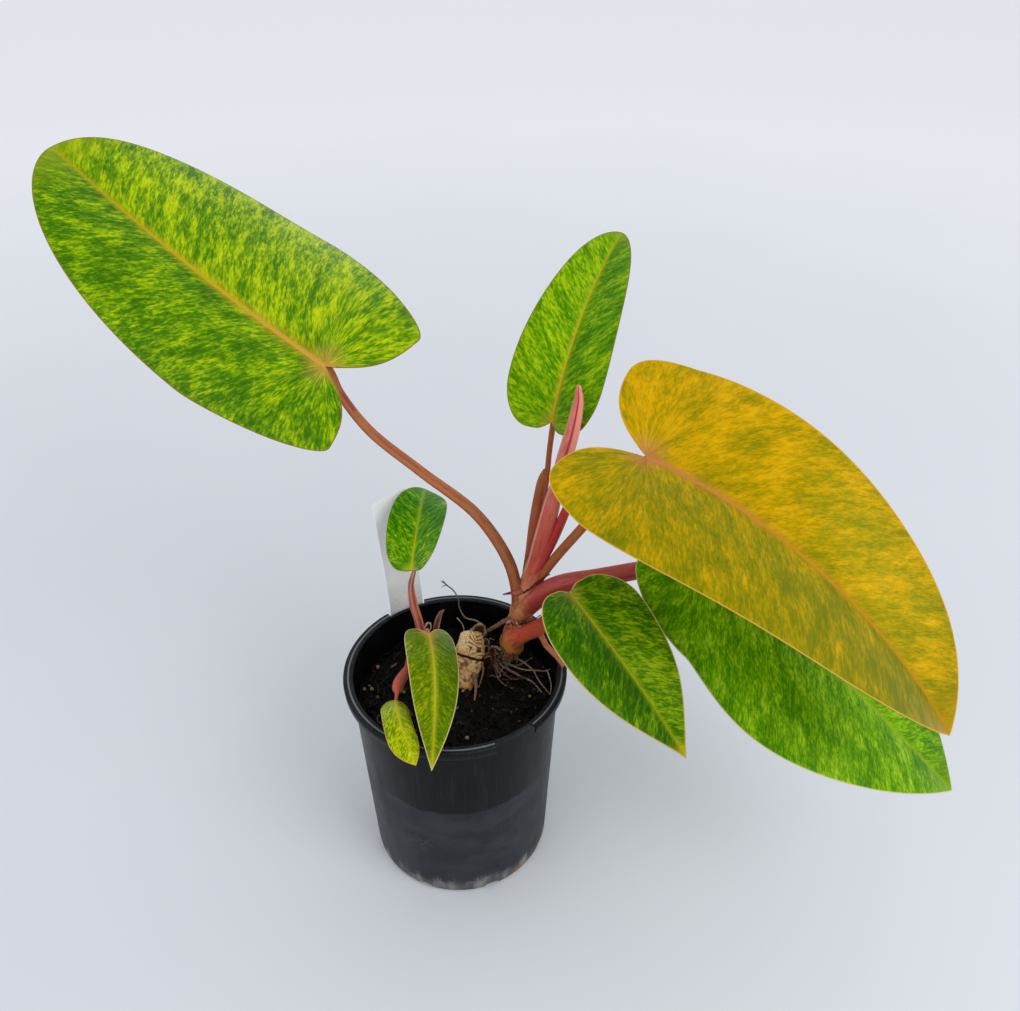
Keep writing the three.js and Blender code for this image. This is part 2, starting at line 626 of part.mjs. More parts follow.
function makeTag() {
  const half = tag.width / 2;
  const rows = 6;
  const columns = 4;
  const points = [];
  const centre = new THREE.Vector3(Math.cos(radians(tag.angle)), Math.sin(radians(tag.angle)), 0);
  const along = new THREE.Vector3(Math.sin(radians(tag.angle)), -Math.cos(radians(tag.angle)), 0);
  for (const face of [0, tag.thickness]) {
    for (let i = 0; i <= rows; i += 1) {
      const z = THREE.MathUtils.lerp(tag.bottom, tag.top, i / rows);
      const above = Math.max(0, (z - pot.height) / (tag.top - pot.height));
      const narrow = 1 - 0.25 * THREE.MathUtils.clamp((pot.height - 12 - z) / 22, 0, 1);
      for (let k = 0; k <= columns; k += 1) {
        const side = (2 * k) / columns - 1;
        const bow = 2.2 * side * side;
        const radius = tag.radius + face - bow * 0.4 + tag.leanBack * above ** 1.3;
        const place = centre.clone().multiplyScalar(radius)
          .addScaledVector(along, side * half * narrow - tag.leanLeft * above);
        points.push([place.x, place.y, z + (i === rows ? 4 * side : 0)]);
      }
    }
  }
  const layer = (rows + 1) * (columns + 1);
  const triangles = [];
  const quad = (a, b, c, d) => triangles.push([a, b, c], [a, c, d]);
  const id = (face, i, k) => face * layer + i * (columns + 1) + k;
  for (let i = 0; i < rows; i += 1) {
    for (let k = 0; k < columns; k += 1) {
      quad(id(0, i, k), id(0, i, k + 1), id(0, i + 1, k + 1), id(0, i + 1, k));
      triangles.push([id(1, i, k), id(1, i + 1, k + 1), id(1, i, k + 1)]);
      triangles.push([id(1, i, k), id(1, i + 1, k), id(1, i + 1, k + 1)]);
    }
    quad(id(0, i, 0), id(0, i + 1, 0), id(1, i + 1, 0), id(1, i, 0));
    quad(id(0, i, columns), id(1, i, columns), id(1, i + 1, columns), id(0, i + 1, columns));
  }
  for (let k = 0; k < columns; k += 1) {
    quad(id(0, 0, k), id(1, 0, k), id(1, 0, k + 1), id(0, 0, k + 1));
    quad(id(0, rows, k), id(0, rows, k + 1), id(1, rows, k + 1), id(1, rows, k));
  }
  return toSolid(fromTriangles(points, triangles));
}

const plant = new THREE.Group();

function addMesh(name, solid, colour, roughness = 0.6) {
  const material = new THREE.MeshStandardMaterial({ color: colour, roughness, metalness: 0 });
  const mesh = new THREE.Mesh(toGeometry(solid), material);
  mesh.name = name;
  plant.add(mesh);
}

// Each new piece is cut clear of those already placed, which are kept here a gap larger than they are.
const placed = [];
function placePiece(name, make, colour, roughness) {
  let solid = make(0);
  const box = solid.boundingBox();
  for (const other of placed) {
    const near = [0, 1, 2].every((k) => other.box.min[k] < box.max[k] && box.min[k] < other.box.max[k]);
    if (near) solid = solid.subtract(other.solid);
  }
  solid = largest(solid);
  addMesh(name, solid, colour, roughness);
  const grown = make(gap);
  placed.push({ solid: grown, box: grown.boundingBox() });
}

const plainStem = (piece, options) => (grow) => toSolid(stemGeometry(piece, { ...options, grow }));
const leafBlade = (name) => (grow) => makeBlade(name, grow);
const leafStalk = (name) => (grow) => makeStalk(name, grow);

placePiece('blade_upper_left', leafBlade('upperLeft'), colours.leafGreen, 0.42);
placePiece('blade_upper_middle', leafBlade('upperMiddle'), colours.leafGreen, 0.42);
placePiece('blade_small_upright', leafBlade('smallUpright'), colours.leafDark, 0.42);
placePiece('blade_golden', leafBlade('golden'), colours.leafGold, 0.42);
placePiece('blade_low_green', leafBlade('lowGreen'), colours.leafGreen, 0.42);
placePiece('blade_front', leafBlade('front'), colours.leafDark, 0.42);
placePiece('blade_smallest', leafBlade('smallest'), colours.leafLime, 0.42);
placePiece('blade_drooping', leafBlade('drooping'), colours.leafLime, 0.42);
placePiece('old_stem', makeOldStem, colours.oldStem, 0.9);
placePiece('crown_stem', makeCrown, colours.crown, 0.55);
placePiece('stalk_front', leafStalk('front'), colours.crown, 0.5);
placePiece('stalk_low_green', leafStalk('lowGreen'), colours.stalkRed, 0.5);
placePiece('new_leaf_sheath', plainStem(newLeafSheath, { sides: 10 }), colours.spear, 0.5);
placePiece('new_leaf_roll', makeNewRoll, colours.spear, 0.45);
placePiece('stalk_upper_left', leafStalk('upperLeft'), colours.stalkBrown, 0.5);
placePiece('stalk_upper_middle', leafStalk('upperMiddle'), colours.stalkBrown, 0.5);
placePiece('stalk_golden', leafStalk('golden'), colours.stalkBrown, 0.5);
placePiece('red_bract', plainStem(redBract), colours.stalkRed, 0.5);
placePiece('leaf_scar_spike', plainStem(scarSpike, { sides: 6, steps: 4 }), colours.spear, 0.6);
placePiece('offshoot_stem', plainStem(offshootStem, { steps: 4 }), colours.crown, 0.6);
placePiece('stalk_small_upright', leafStalk('smallUpright'), colours.spear, 0.5);
placePiece('stalk_drooping', leafStalk('drooping'), colours.stalkBrown, 0.5);
placePiece('stalk_smallest', leafStalk('smallest'), colours.spear, 0.5);
placePiece('dried_sheath', plainStem(driedSheath, { sides: 6, steps: 7 }), colours.root, 0.85);
placePiece('roots', makeRoots, colours.root, 0.85);
placePiece('aerial_root', plainStem(aerialRoot, { sides: 7, steps: 8 }), colours.stalkBrown, 0.7);
placePiece('dry_thread', plainStem(dryThread, { sides: 5, steps: 14 }), colours.root, 0.9);
placePiece('pot', makePot, colours.pot, 0.38);
placePiece('plant_tag', makeTag, colours.tag, 0.5);
placePiece('soil', makeSoil, colours.soil, 0.95);

export default plant;
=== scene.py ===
import math

import bmesh
import bpy
import numpy as np
from mathutils import Matrix, Vector, noise


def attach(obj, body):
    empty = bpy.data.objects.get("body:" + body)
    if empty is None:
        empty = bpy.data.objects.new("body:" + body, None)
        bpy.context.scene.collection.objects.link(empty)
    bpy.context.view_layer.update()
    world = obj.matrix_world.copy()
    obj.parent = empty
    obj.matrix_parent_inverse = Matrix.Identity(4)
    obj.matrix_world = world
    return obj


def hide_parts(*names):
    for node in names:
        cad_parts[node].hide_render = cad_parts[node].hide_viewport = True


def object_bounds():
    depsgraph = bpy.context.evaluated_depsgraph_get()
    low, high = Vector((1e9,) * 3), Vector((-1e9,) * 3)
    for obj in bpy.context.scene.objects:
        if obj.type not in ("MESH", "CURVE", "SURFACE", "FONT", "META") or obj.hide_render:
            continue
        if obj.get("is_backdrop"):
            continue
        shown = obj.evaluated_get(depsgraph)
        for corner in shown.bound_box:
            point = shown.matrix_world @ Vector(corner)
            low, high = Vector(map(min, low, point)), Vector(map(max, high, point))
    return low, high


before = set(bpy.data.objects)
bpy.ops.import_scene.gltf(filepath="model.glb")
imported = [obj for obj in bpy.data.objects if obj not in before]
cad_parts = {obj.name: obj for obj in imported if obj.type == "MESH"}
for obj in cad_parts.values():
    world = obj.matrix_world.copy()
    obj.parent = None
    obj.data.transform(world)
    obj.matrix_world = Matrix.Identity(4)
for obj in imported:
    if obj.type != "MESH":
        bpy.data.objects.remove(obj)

# Sizes and places are in metres, angles in degrees. The leaves, stems and pot repeat the part's own values.
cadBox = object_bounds()
scene = bpy.context.scene

viewpoint = {
    "place": (0.04897, -0.63365, 0.84265),
    "lookDown": 35.38,
    "focalPixels": 981.58,
    "imageWidth": 1020,
    "sensorWidth": 36,
}
studio = {
    "floorSize": 16,
    "floorNearShade": "#d2d5da",
    "floorFar": "#f6f7f9",
    "floorFade": (0.1, 3.2),  # how far from the pot the floor's painted shade starts to lift and where it reaches the lighter far colour
    "skyColour": "#eef1f6",
    "skyStrength": 0.95,
    "keyPlace": (1.35, -1.15, 1.75),
    "keyAim": (0.02, -0.02, 0.28),
    "keySize": 1.3,
    "keyPower": 19,
    "fillPlace": (-1.5, -1.3, 1.1),
    "fillSize": 1.6,
    "fillPower": 4,
}


def colour(code):
    # a web colour as the linear values that a socket takes
    parts = [int(code[i:i + 2], 16) / 255 for i in (1, 3, 5)]
    linear = [p / 12.92 if p <= 0.04045 else ((p + 0.055) / 1.055) ** 2.4 for p in parts]
    return (*linear, 1)


def addNode(tree, kind, inputs=None, **settings):
    made = tree.nodes.new("ShaderNode" + kind)
    for key, value in settings.items():
        setattr(made, key, value)
    for key, value in (inputs or {}).items():
        feed(tree, value, made.inputs[key])
    return made


def feed(tree, value, target):
    if isinstance(value, bpy.types.NodeSocket):
        tree.links.new(value, target)
    elif isinstance(value, str):
        target.default_value = colour(value)
    else:
        target.default_value = value


def attribute(tree, name, output="Fac"):
    return addNode(tree, "Attribute", attribute_name=name).outputs[output]


def objectPlace(tree):
    return addNode(tree, "TexCoord").outputs["Object"]


def heightOf(tree, position):
    return addNode(tree, "SeparateXYZ", {"Vector": position}).outputs["Z"]


def maths(tree, operation, a, b=0.0):
    return addNode(tree, "Math", {0: a, 1: b}, operation=operation).outputs[0]


def plus(tree, a, b):
    return maths(tree, "ADD", a, b)


def times(tree, a, b):
    return maths(tree, "MULTIPLY", a, b)


def scaled(tree, value, factor, offset):
    return addNode(tree, "Math", {0: value, 1: factor, 2: offset}, operation="MULTIPLY_ADD").outputs[0]


def vectorMaths(tree, operation, a, b=(0, 0, 0), output="Vector"):
    return addNode(tree, "VectorMath", {0: a, 1: b}, operation=operation).outputs[output]


def fade(tree, value, start, stop, low=0.0, high=1.0):
    # runs smoothly from low to high as the value goes from start to stop
    inputs = {"Value": value, "From Min": start, "From Max": stop, "To Min": low, "To Max": high}
    return addNode(tree, "MapRange", inputs, interpolation_type="SMOOTHSTEP").outputs["Result"]


def blend(tree, factor, a, b):
    mix = addNode(tree, "Mix", {0: factor}, data_type="RGBA")
    feed(tree, a, mix.inputs[6])
    feed(tree, b, mix.inputs[7])
    return mix.outputs[2]


def layered(tree, shade, *layers):
    # a layer is a value, where it sets in and where it is full, how strong it gets, and its colour
    for value, start, stop, strength, code in layers:
        shade = blend(tree, fade(tree, value, start, stop, 0.0, strength), shade, code)
    return shade


def ramp(tree, value, stops):
    made = addNode(tree, "ValToRGB", {"Fac": value})
    band = made.color_ramp
    while len(band.elements) < len(stops):
        band.elements.new(0.5)
    for element, (place, code) in zip(band.elements, stops):
        element.position = place
        element.color = colour(code)
    return made.outputs["Color"]


def speckle(tree, vector, scale, detail=2.0, roughness=0.5):
    inputs = {"Vector": vector, "Scale": scale, "Detail": detail, "Roughness": roughness}
    return addNode(tree, "TexNoise", inputs).outputs["Fac"]


def stretch(tree, vector, scale):
    return addNode(tree, "Mapping", {"Vector": vector, "Scale": scale}).outputs["Vector"]


def bump(tree, height, distance, strength=1.0, normal=None):
    inputs = {"Height": height, "Distance": distance, "Strength": strength}
    if normal is not None:
        inputs["Normal"] = normal
    return addNode(tree, "Bump", inputs).outputs["Normal"]


def newMaterial(name, **constants):
    made = bpy.data.materials.new(name)
    made.use_nodes = True
    shader = made.node_tree.nodes["Principled BSDF"]
    for key, value in constants.items():
        feed(made.node_tree, value, shader.inputs[key])
    return made, made.node_tree, shader


def newGroup(name, inputs, outputs):
    tree = bpy.data.node_groups.new(name, "ShaderNodeTree")
    for label, value in inputs.items():
        tree.interface.new_socket(label, in_out="INPUT", socket_type="NodeSocketFloat").default_value = value
    for label in outputs:
        tree.interface.new_socket(label, in_out="OUTPUT", socket_type="NodeSocketFloat")
    given = tree.nodes.new("NodeGroupInput")
    result = tree.nodes.new("NodeGroupOutput")
    return tree, given.outputs, result.inputs


def useGroup(tree, group, **inputs):
    made = tree.nodes.new("ShaderNodeGroup")
    made.node_tree = group
    for key, value in inputs.items():
        feed(tree, value, made.inputs[key])
    return made.outputs


def markCreases(bm, crease):
    # edges that turn by more than crease degrees stay sharp
    for edge in bm.edges:
        edge.smooth = not (edge.is_manifold and edge.calc_face_angle(0) > math.radians(crease))


def linkMesh(name, bm):
    mesh = bpy.data.meshes.new(name)
    bm.to_mesh(mesh)
    bm.free()
    made = bpy.data.objects.new(name, mesh)
    scene.collection.objects.link(made)
    return made


def finishPiece(name, bm, material, slotName, *nodes, crease=50):
    markCreases(bm, crease)
    piece = linkMesh(name, bm)
    for face in piece.data.polygons:
        face.use_smooth = True
    piece.data.materials.append(material)
    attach(piece, "root")
    if nodes:
        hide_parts(*nodes)
    return piece


def areaLight(name, origin, aim, size, power):
    data = bpy.data.lights.new(name, "AREA")
    data.size = size
    data.energy = power
    made = bpy.data.objects.new(name, data)
    made.location = origin
    made.rotation_euler = (Vector(aim) - Vector(origin)).to_track_quat("-Z", "Y").to_euler()
    scene.collection.objects.link(made)


camera = bpy.data.cameras.new("camera")
camera.sensor_width = viewpoint["sensorWidth"]
camera.lens = viewpoint["focalPixels"] * viewpoint["sensorWidth"] / viewpoint["imageWidth"]
camera.clip_start = 0.01
camera.clip_end = 100
eye = bpy.data.objects.new("camera", camera)
eye.location = viewpoint["place"]
eye.rotation_euler = (math.radians(90 - viewpoint["lookDown"]), 0, 0)
scene.collection.objects.link(eye)
scene.camera = eye

sky = bpy.data.worlds.new("sky")
sky.use_nodes = True
background = sky.node_tree.nodes["Background"]
background.inputs["Color"].default_value = colour(studio["skyColour"])
background.inputs["Strength"].default_value = studio["skyStrength"]
scene.world = sky
scene.view_settings.view_transform = "Standard"
areaLight("keyLight", studio["keyPlace"], studio["keyAim"], studio["keySize"], studio["keyPower"])
areaLight("fillLight", studio["fillPlace"], studio["keyAim"], studio["fillSize"], studio["fillPower"])

floorMaterial, tree, shader = newMaterial("paleFloor", Roughness=0.7)
position = objectPlace(tree)
# the floor is painted darker near the pot and lighter far off: painted shade near the pot, painted light further
# away
away = fade(tree, vectorMaths(tree, "LENGTH", position, output="Value"), *studio["floorFade"])
floorTone = plus(tree, away, times(tree, speckle(tree, position, 3.0), 0.12))
feed(tree, blend(tree, floorTone, studio["floorNearShade"], studio["floorFar"]), shader.inputs["Base Color"])
bm = bmesh.new()
bmesh.ops.create_grid(bm, x_segments=4, y_segments=4, size=studio["floorSize"] / 2)
floor = linkMesh("floor", bm)
floor.data.materials.append(floorMaterial)
floor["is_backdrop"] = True
print("camera, light and floor are set")

# A leaf blade starts where its stalk joins it, at base, and runs along its midrib. The words mean what they
# do in the part: pairs go from the join to the tip, roll lifts the left half, fold opens the halves into a V.
leaves = {
    "upperLeft": {
        "base": (-0.0815, -0.0115, 0.5215), "heading": 140, "swing": 7, "pitch": (11, 29),
        "roll": (-35, -13.5), "fold": 19, "arch": 59, "lift": -0.01, "length": 0.3065, "half": 0.0845,
        "widest": 0.087, "lobe": 0.0475, "lobeOut": 0.0485, "sinus": 21.5, "tip": 76.5,
        "ease": (0.54, 0.4, 0.18, 0.49, 0.28), "skew": -0.07, "wave": (0.0016, 1.1, 1.9),
    },
    "upperMiddle": {
        "base": (0.083, 0.065, 0.43), "heading": 64, "swing": -2.5, "pitch": (63.5, 19),
        "roll": (-6.5, 12.5), "fold": 23.5, "arch": 11, "lift": 0.01, "length": 0.183, "half": 0.0435,
        "widest": 0.03, "lobe": 0.007, "lobeOut": 0.019, "sinus": 53, "tip": 63,
        "ease": (0.6, 0.63, 0.49, 0.33, 0.19), "skew": 0, "wave": (0.0015, -1.1, 2.8),
    },
    "smallUpright": {
        "base": (-0.037, 0.032, 0.301), "heading": 83, "swing": 5.5, "pitch": (45, -17.5),
        "roll": (-40, 23.5), "fold": 15.5, "arch": 11.5, "lift": 0, "length": 0.1, "half": 0.0275,
        "widest": 0.0195, "lobe": 0.001, "lobeOut": 0.012, "sinus": 66.5, "tip": 49,
        "ease": (0.57, 0.67, 0.52, 0.58, 0.39), "skew": 0, "wave": (0.0007, -1.8, 2.1),
    },
    "golden": {
        "base": (0.153, 0.001, 0.438), "heading": -39.5, "swing": 5, "pitch": (-1.5, -52.5),
        "roll": (25.5, 9), "fold": 23, "arch": 23.5, "lift": 0.26, "length": 0.3055, "half": 0.0855,
        "widest": 0.0425, "lobe": 0.044, "lobeOut": 0.053, "sinus": 20.5, "tip": 51.5,
        "ease": (0.5, 0.71, 0.57, 0.34, 0.32), "skew": -0.01, "wave": (0.0024, -1, -2.9),
    },
    "lowGreen": {
        "base": (0.213, 0.007, 0.337), "heading": -37, "swing": 14.5, "pitch": (-24.5, -43),
        "roll": (25.5, 9), "fold": 11, "arch": 30.5, "lift": 0.12, "length": 0.2815, "half": 0.078,
        "widest": 0.0395, "lobe": 0.0395, "lobeOut": 0.0425, "sinus": 22, "tip": 47.5,
        "ease": (0.6, 0.54, 0.31, 0.09, 0.71), "skew": -0.01, "wave": (0.0025, 1.5, 1),
    },
    "front": {
        "base": (0.097, -0.037, 0.333), "heading": -52.5, "swing": 14, "pitch": (-20.5, -49.5),
        "roll": (-1.5, 22.5), "fold": 19, "arch": 21, "lift": -0.01, "length": 0.1575, "half": 0.0455,
        "widest": 0.031, "lobe": 0.005, "lobeOut": 0.018, "sinus": 51, "tip": 26,
        "ease": (0.58, 0.61, 0.48, 0.5, 0.34), "skew": 0.01, "wave": (0.0016, 0.4, 1.3),
    },
    "smallest": {
        "base": (-0.047, -0.056, 0.232), "heading": -83.5, "swing": 25.5, "pitch": (34, -47),
        "roll": (-9, -9), "fold": -14, "arch": 39, "lift": -0.12, "length": 0.0735, "half": 0.0145,
        "widest": 0.012, "lobe": 0.0115, "lobeOut": 0.009, "sinus": 52, "tip": 52.5,
        "ease": (0.59, 0.73, 0.57, 0.57, 0.41), "skew": 0, "wave": (0.0004, 1.5, -1.2),
    },
    "drooping": {
        "base": (-0.0215, -0.002, 0.258), "heading": -77, "swing": -19.5, "pitch": (10, -50),
        "roll": (-12, 3.5), "fold": -1.5, "arch": 24.5, "lift": -0.1, "length": 0.1295, "half": 0.0225,
        "widest": 0.0185, "lobe": 0.012, "lobeOut": 0.015, "sinus": 43, "tip": 22,
        "ease": (0.59, 0.75, 0.6, 0.5, 0.31), "skew": 0, "wave": (0.0007, 0.8, -1.6),
    },
}
blade = {
    "fullLength": 0.3,  # the marks and ribs below are those of a leaf this long
    "thickness": 0.0009,
    "edgeThickness": 0.0005,
    "edgeTaper": 0.004,
    "veinAngle": 52,
    "midribDepth": 0.011,  # how far the midrib stands out below, for each metre of leaf ahead of it
    "midribWidth": (0.0012, 0.0035),  # at the tip, and what the whole leaf adds to it at the join
    "leastRidge": 0.0004,
    "grooveDepth": 0.0005,
    "waveRate": 9,
    "columns": 26,
    "veinGap": 0.0078,
    "quilt": 0.00016,  # how deep the side veins lie
    "quiltFade": (0.006, 0.008),  # they fade out towards the edge and towards the midrib
    "lobeFan": 0.7,
}
# points on the notch, the lobe and the rest of the margin
marginSteps = {
    "upperLeft": (12, 34, 150), "golden": (12, 34, 150), "lowGreen": (12, 30, 140),
    "upperMiddle": (8, 20, 100), "front": (8, 20, 90), "smallUpright": (7, 16, 60),
    "smallest": (7, 14, 48), "drooping": (7, 16, 70),
}


def bezier(four, t):
    a, b, c, d = [np.array(p)[:, None] for p in four]
    return (1 - t) ** 3 * a + 3 * (1 - t) ** 2 * t * b + 3 * (1 - t) * t ** 2 * c + t ** 3 * d


def halfMargin(leaf, steps):
    # one half of the flat leaf's edge, from the join round the lobe to the tip, as rows of (across, along)
    intoNotch, roundLobe, upFlank, overShoulder, toPoint = leaf["ease"]
    join, tip = (0, 0), (0, leaf["length"])
    back, wide = (leaf["lobeOut"], -leaf["lobe"]), (leaf["half"], leaf["widest"])
    notch, point = math.radians(leaf["sinus"]), math.radians(leaf["tip"])
    first = intoNotch * math.hypot(*back)
    last = toPoint * math.hypot(wide[0], tip[1] - wide[1])
    parts = [
        (join, (first * math.sin(notch), -first * math.cos(notch)), (back[0] / 2, back[1]), back),
        (back, (back[0] + roundLobe * (wide[0] - back[0]), back[1]),
         (wide[0], wide[1] - upFlank * (wide[1] - back[1])), wide),
        (wide, (wide[0], wide[1] + overShoulder * (tip[1] - wide[1])),
         (last * math.sin(point), tip[1] - last * math.cos(point)), tip),
    ]
    rows = [bezier(four, np.linspace(0, 1, count + 1)[1:]) for four, count in zip(parts, steps)]
    return np.hstack(rows).T


def midribChain(leaf, steps=60):
    s = np.linspace(0, 1, 2 * steps + 1)
    pitch = np.radians(leaf["pitch"][0] + (leaf["pitch"][1] - leaf["pitch"][0]) * s)
    heading = np.radians(leaf["heading"] + leaf["swing"] * s)
    roll = np.radians(leaf["roll"][0] + (leaf["roll"][1] - leaf["roll"][0]) * s)[:, None]
    forward = np.stack([np.cos(pitch) * np.cos(heading), np.cos(pitch) * np.sin(heading), np.sin(pitch)], 1)
    level = np.stack([-np.sin(heading), np.cos(heading), np.zeros_like(heading)], 1)
    above = np.cross(forward, level)
    left = level * np.cos(roll) + above * np.sin(roll)
    up = above * np.cos(roll) - level * np.sin(roll)
    travelled = np.cumsum(forward[1::2], 0) * leaf["length"] / steps
    places = np.array(leaf["base"]) + np.vstack([np.zeros((1, 3)), travelled])
    return {"place": places, "forward": forward[::2], "left": left[::2], "up": up[::2]}


def alongMidrib(leaf, chain, along):
    stations = np.arange(len(chain["place"]))
    s = np.clip(along / leaf["length"], 0, 1) * stations[-1]
    return {key: np.stack([np.interp(s, stations, rows[:, i]) for i in range(3)], -1)
            for key, rows in chain.items()}


def onLeaf(leaf, chain, across, along, side):
    # where points of the flat leaf lie on the curved one; side is 1 on the left half and -1 on the right
    rib = alongMidrib(leaf, chain, along)
    bend = np.radians(leaf["fold"] - leaf["arch"] * across / leaf["half"] / 2)
    behind = np.minimum(along, 0)
    height, startLeft, startRight = leaf["wave"]
    swing = np.sin(blade["waveRate"] * along / leaf["length"] + np.where(side > 0, startLeft, startRight))
    ripple = height * (across / leaf["half"]) ** 2 * swing
    rise = across * np.sin(bend) - leaf["lift"] * behind + ripple
    return (rib["place"] + rib["forward"] * behind[..., None]
            + rib["left"] * (side * across * np.cos(bend))[..., None] + rib["up"] * rise[..., None])


def bladeColumns(count):
    # signed places across the blade, closer together by the midrib and the edge
    half = np.linspace(0, 1, count + 1)
    half = half - 0.09 * np.sin(2 * np.pi * half) - 0.03 * np.sin(np.pi * half)
    return np.concatenate([-half[:0:-1], half])


def bladeNormals(leaf, chain, across, along, side, nudge=0.0005):
    further = onLeaf(leaf, chain, across + nudge, along, side)
    outward = further - onLeaf(leaf, chain, np.maximum(across - nudge, 0), along, side)
    onward = onLeaf(leaf, chain, across, along + nudge, side) - onLeaf(leaf, chain, across, along - nudge, side)
    normal = np.cross(onward, outward * side[..., None])
    return normal / np.linalg.norm(normal, axis=-1, keepdims=True)


def edgeDistance(edge, across, along, side):
    # from each point of the flat blade to the nearest part of its outline
    outline = np.vstack([edge, edge[::-1] * (-1, 1), edge[:1]])
    flat = np.stack([across * side, along], -1)
    nearest = np.full(across.shape, 1.0)
    for a, b in zip(outline, outline[1:]):
        run = b - a
        share = np.clip(((flat - a) @ run) / max(run @ run, 1e-12), 0, 1)
        nearest = np.minimum(nearest, np.linalg.norm(flat - a - share[..., None] * run, axis=-1))
    return nearest


def bladeSurface(leaf, steps):
    # both faces of the blade as grids of points, with the flat measures that its colours follow
    chain, edge, length = midribChain(leaf), halfMargin(leaf, steps), leaf["length"]
    u = bladeColumns(blade["columns"])[None, :]
    side = np.where(u < 0, -1.0, 1.0) * np.ones((len(edge), 1))
    foot = edge[:, 1] - edge[:, 0] / math.tan(math.radians(blade["veinAngle"]))
    start = np.clip(foot, 0, length)[:, None]
    across = edge[:, :1] * np.abs(u)
    along = start + np.abs(u) * (edge[:, 1:] - start)
    wide = across * (1 + leaf["skew"] * side)
    middle = np.broadcast_to(np.arange(u.size) == blade["columns"], across.shape)
    fromEdge = edgeDistance(edge, across, along, side)

    top = onLeaf(leaf, chain, wide, along, side)
    normal = np.where(middle[..., None], alongMidrib(leaf, chain, along)["up"],
                      bladeNormals(leaf, chain, wide, along, side))
    share = length / blade["fullLength"]
    ahead = np.clip(length - along, 0, None) / length
    ridgeWidth = blade["midribWidth"][0] + blade["midribWidth"][1] * ahead * share
    ridge = np.maximum(blade["leastRidge"], blade["midribDepth"] * (length - along))
    ridge = ridge * np.exp(-(across / ridgeWidth) ** 2)
    groove = blade["grooveDepth"] * share * np.exp(-(across / (0.55 * ridgeWidth)) ** 2) * (0.25 + 0.75 * ahead)
    nearEdge, nearRib = blade["quiltFade"]
    veins = np.cos(2 * np.pi * foot[:, None] / blade["veinGap"]) * np.clip(fromEdge / nearEdge, 0, 1)
    relief = -blade["quilt"] * veins * np.clip(across / nearRib, 0, 1) - groove
    fuller = blade["thickness"] - blade["edgeThickness"]
    thickness = blade["edgeThickness"] + fuller * np.clip(fromEdge / blade["edgeTaper"], 0, 1)
    under = top - normal * (thickness + ridge - 0.4 * relief)[..., None]
    top = top + normal * relief[..., None]

    # in the lobes, where the veins fan out, the vein measure follows the margin
    crossing = int(np.argmax(foot > 0))
    travelled = np.concatenate([[0], np.cumsum(np.linalg.norm(np.diff(edge, axis=0), axis=1))])
    unfolded = blade["lobeFan"] * (travelled - travelled[crossing]) + foot[crossing]
    fan = np.where(np.arange(len(foot)) < crossing, unfolded, foot)
    measures = {
        "side": side * np.where(middle, 0, 1), "vein": np.broadcast_to(fan[:, None], across.shape),
        "reach": np.hypot(across, along - start), "fromRib": across, "fromEdge": fromEdge,
        "along": np.clip(along / length, -0.3, 1), "fromJoin": np.hypot(across, along),
    }
    return top, under, measures


def nodeName(kind, name):
    # the part's name for it, such as blade_upper_left
    return kind + "_" + "".join("_" + c.lower() if c.isupper() else c for c in name)


def makeBlade(name, material, slotName):
    leaf = leaves[name]
    top, under, measures = bladeSurface(leaf, marginSteps[name])
    rows, columns = top.shape[:2]
    bm = bmesh.new()
    bmesh.ops.create_grid(bm, x_segments=columns - 1, y_segments=rows - 1, size=1)
    cell = bm.verts.layers.int.new("cell")
    layers = {key: bm.verts.layers.float.new(key) for key in [*measures, "below"]}
    flatValues = {key: values.ravel() for key, values in measures.items()}
    for vert in bm.verts:
        column = round((vert.co.x + 1) / 2 * (columns - 1))
        row = round((vert.co.y + 1) / 2 * (rows - 1))
        vert[cell] = row * columns + column
        for key, values in flatValues.items():
            vert[layers[key]] = values[vert[cell]]
    grown = bmesh.ops.extrude_face_region(bm, geom=list(bm.faces), use_keep_orig=True)["geom"]
    lower = {item for item in grown if isinstance(item, bmesh.types.BMVert)}
    topPoints, underPoints = top.reshape(-1, 3), under.reshape(-1, 3)
    for vert in bm.verts:
        vert.co = underPoints[vert[cell]] if vert in lower else topPoints[vert[cell]]
        vert[layers["below"]] = 1.0 if vert in lower else 0.0
    bmesh.ops.remove_doubles(bm, verts=bm.verts, dist=2e-5)
    bmesh.ops.recalc_face_normals(bm, faces=bm.faces)
    finishPiece(name + "Blade", bm, material, slotName, nodeName("blade", name))


# Short flecks drawn out along the side veins, over larger soft patches.
leafMottle, given, result = newGroup(
    "leafMottle", {"Seed": 0.0, "Patch": 0.9, "Streak": 0.2, "Fleck": 0.2, "Blotch": 0.14}, ["Tone", "Fine"])
veinPlace = addNode(leafMottle, "CombineXYZ", {
    "X": attribute(leafMottle, "vein"), "Y": attribute(leafMottle, "reach"),
    "Z": scaled(leafMottle, attribute(leafMottle, "side"), 1.7, given["Seed"])}).outputs[0]
patchMap, streakMap, fleckMap, blotchMap = [
    speckle(leafMottle, stretch(leafMottle, veinPlace, scale), 1.0, detail, roughness)
    for scale, detail, roughness in (((66, 38, 1), 3.0, 0.5), ((270, 95, 3.1), 3.0, 0.62),
                                     ((640, 250, 7.3), 2.0, 0.5), ((125, 44, 5.1), 3.0, 0.6))]
crisp = fade(leafMottle, streakMap, 0.39, 0.61)
dotted = fade(leafMottle, fleckMap, 0.4, 0.62)
total = 0.5
for noiseMap, weight in ((patchMap, "Patch"), (crisp, "Streak"), (dotted, "Fleck")):
    centred = maths(leafMottle, "SUBTRACT", noiseMap, 0.5)
    total = plus(leafMottle, times(leafMottle, centred, given[weight]), total)
spots = times(leafMottle, fade(leafMottle, blotchMap, 0.56, 0.68), given["Blotch"])
feed(leafMottle, plus(leafMottle, total, spots), result["Tone"])
feed(leafMottle, times(leafMottle, fleckMap, streakMap), result["Fine"])

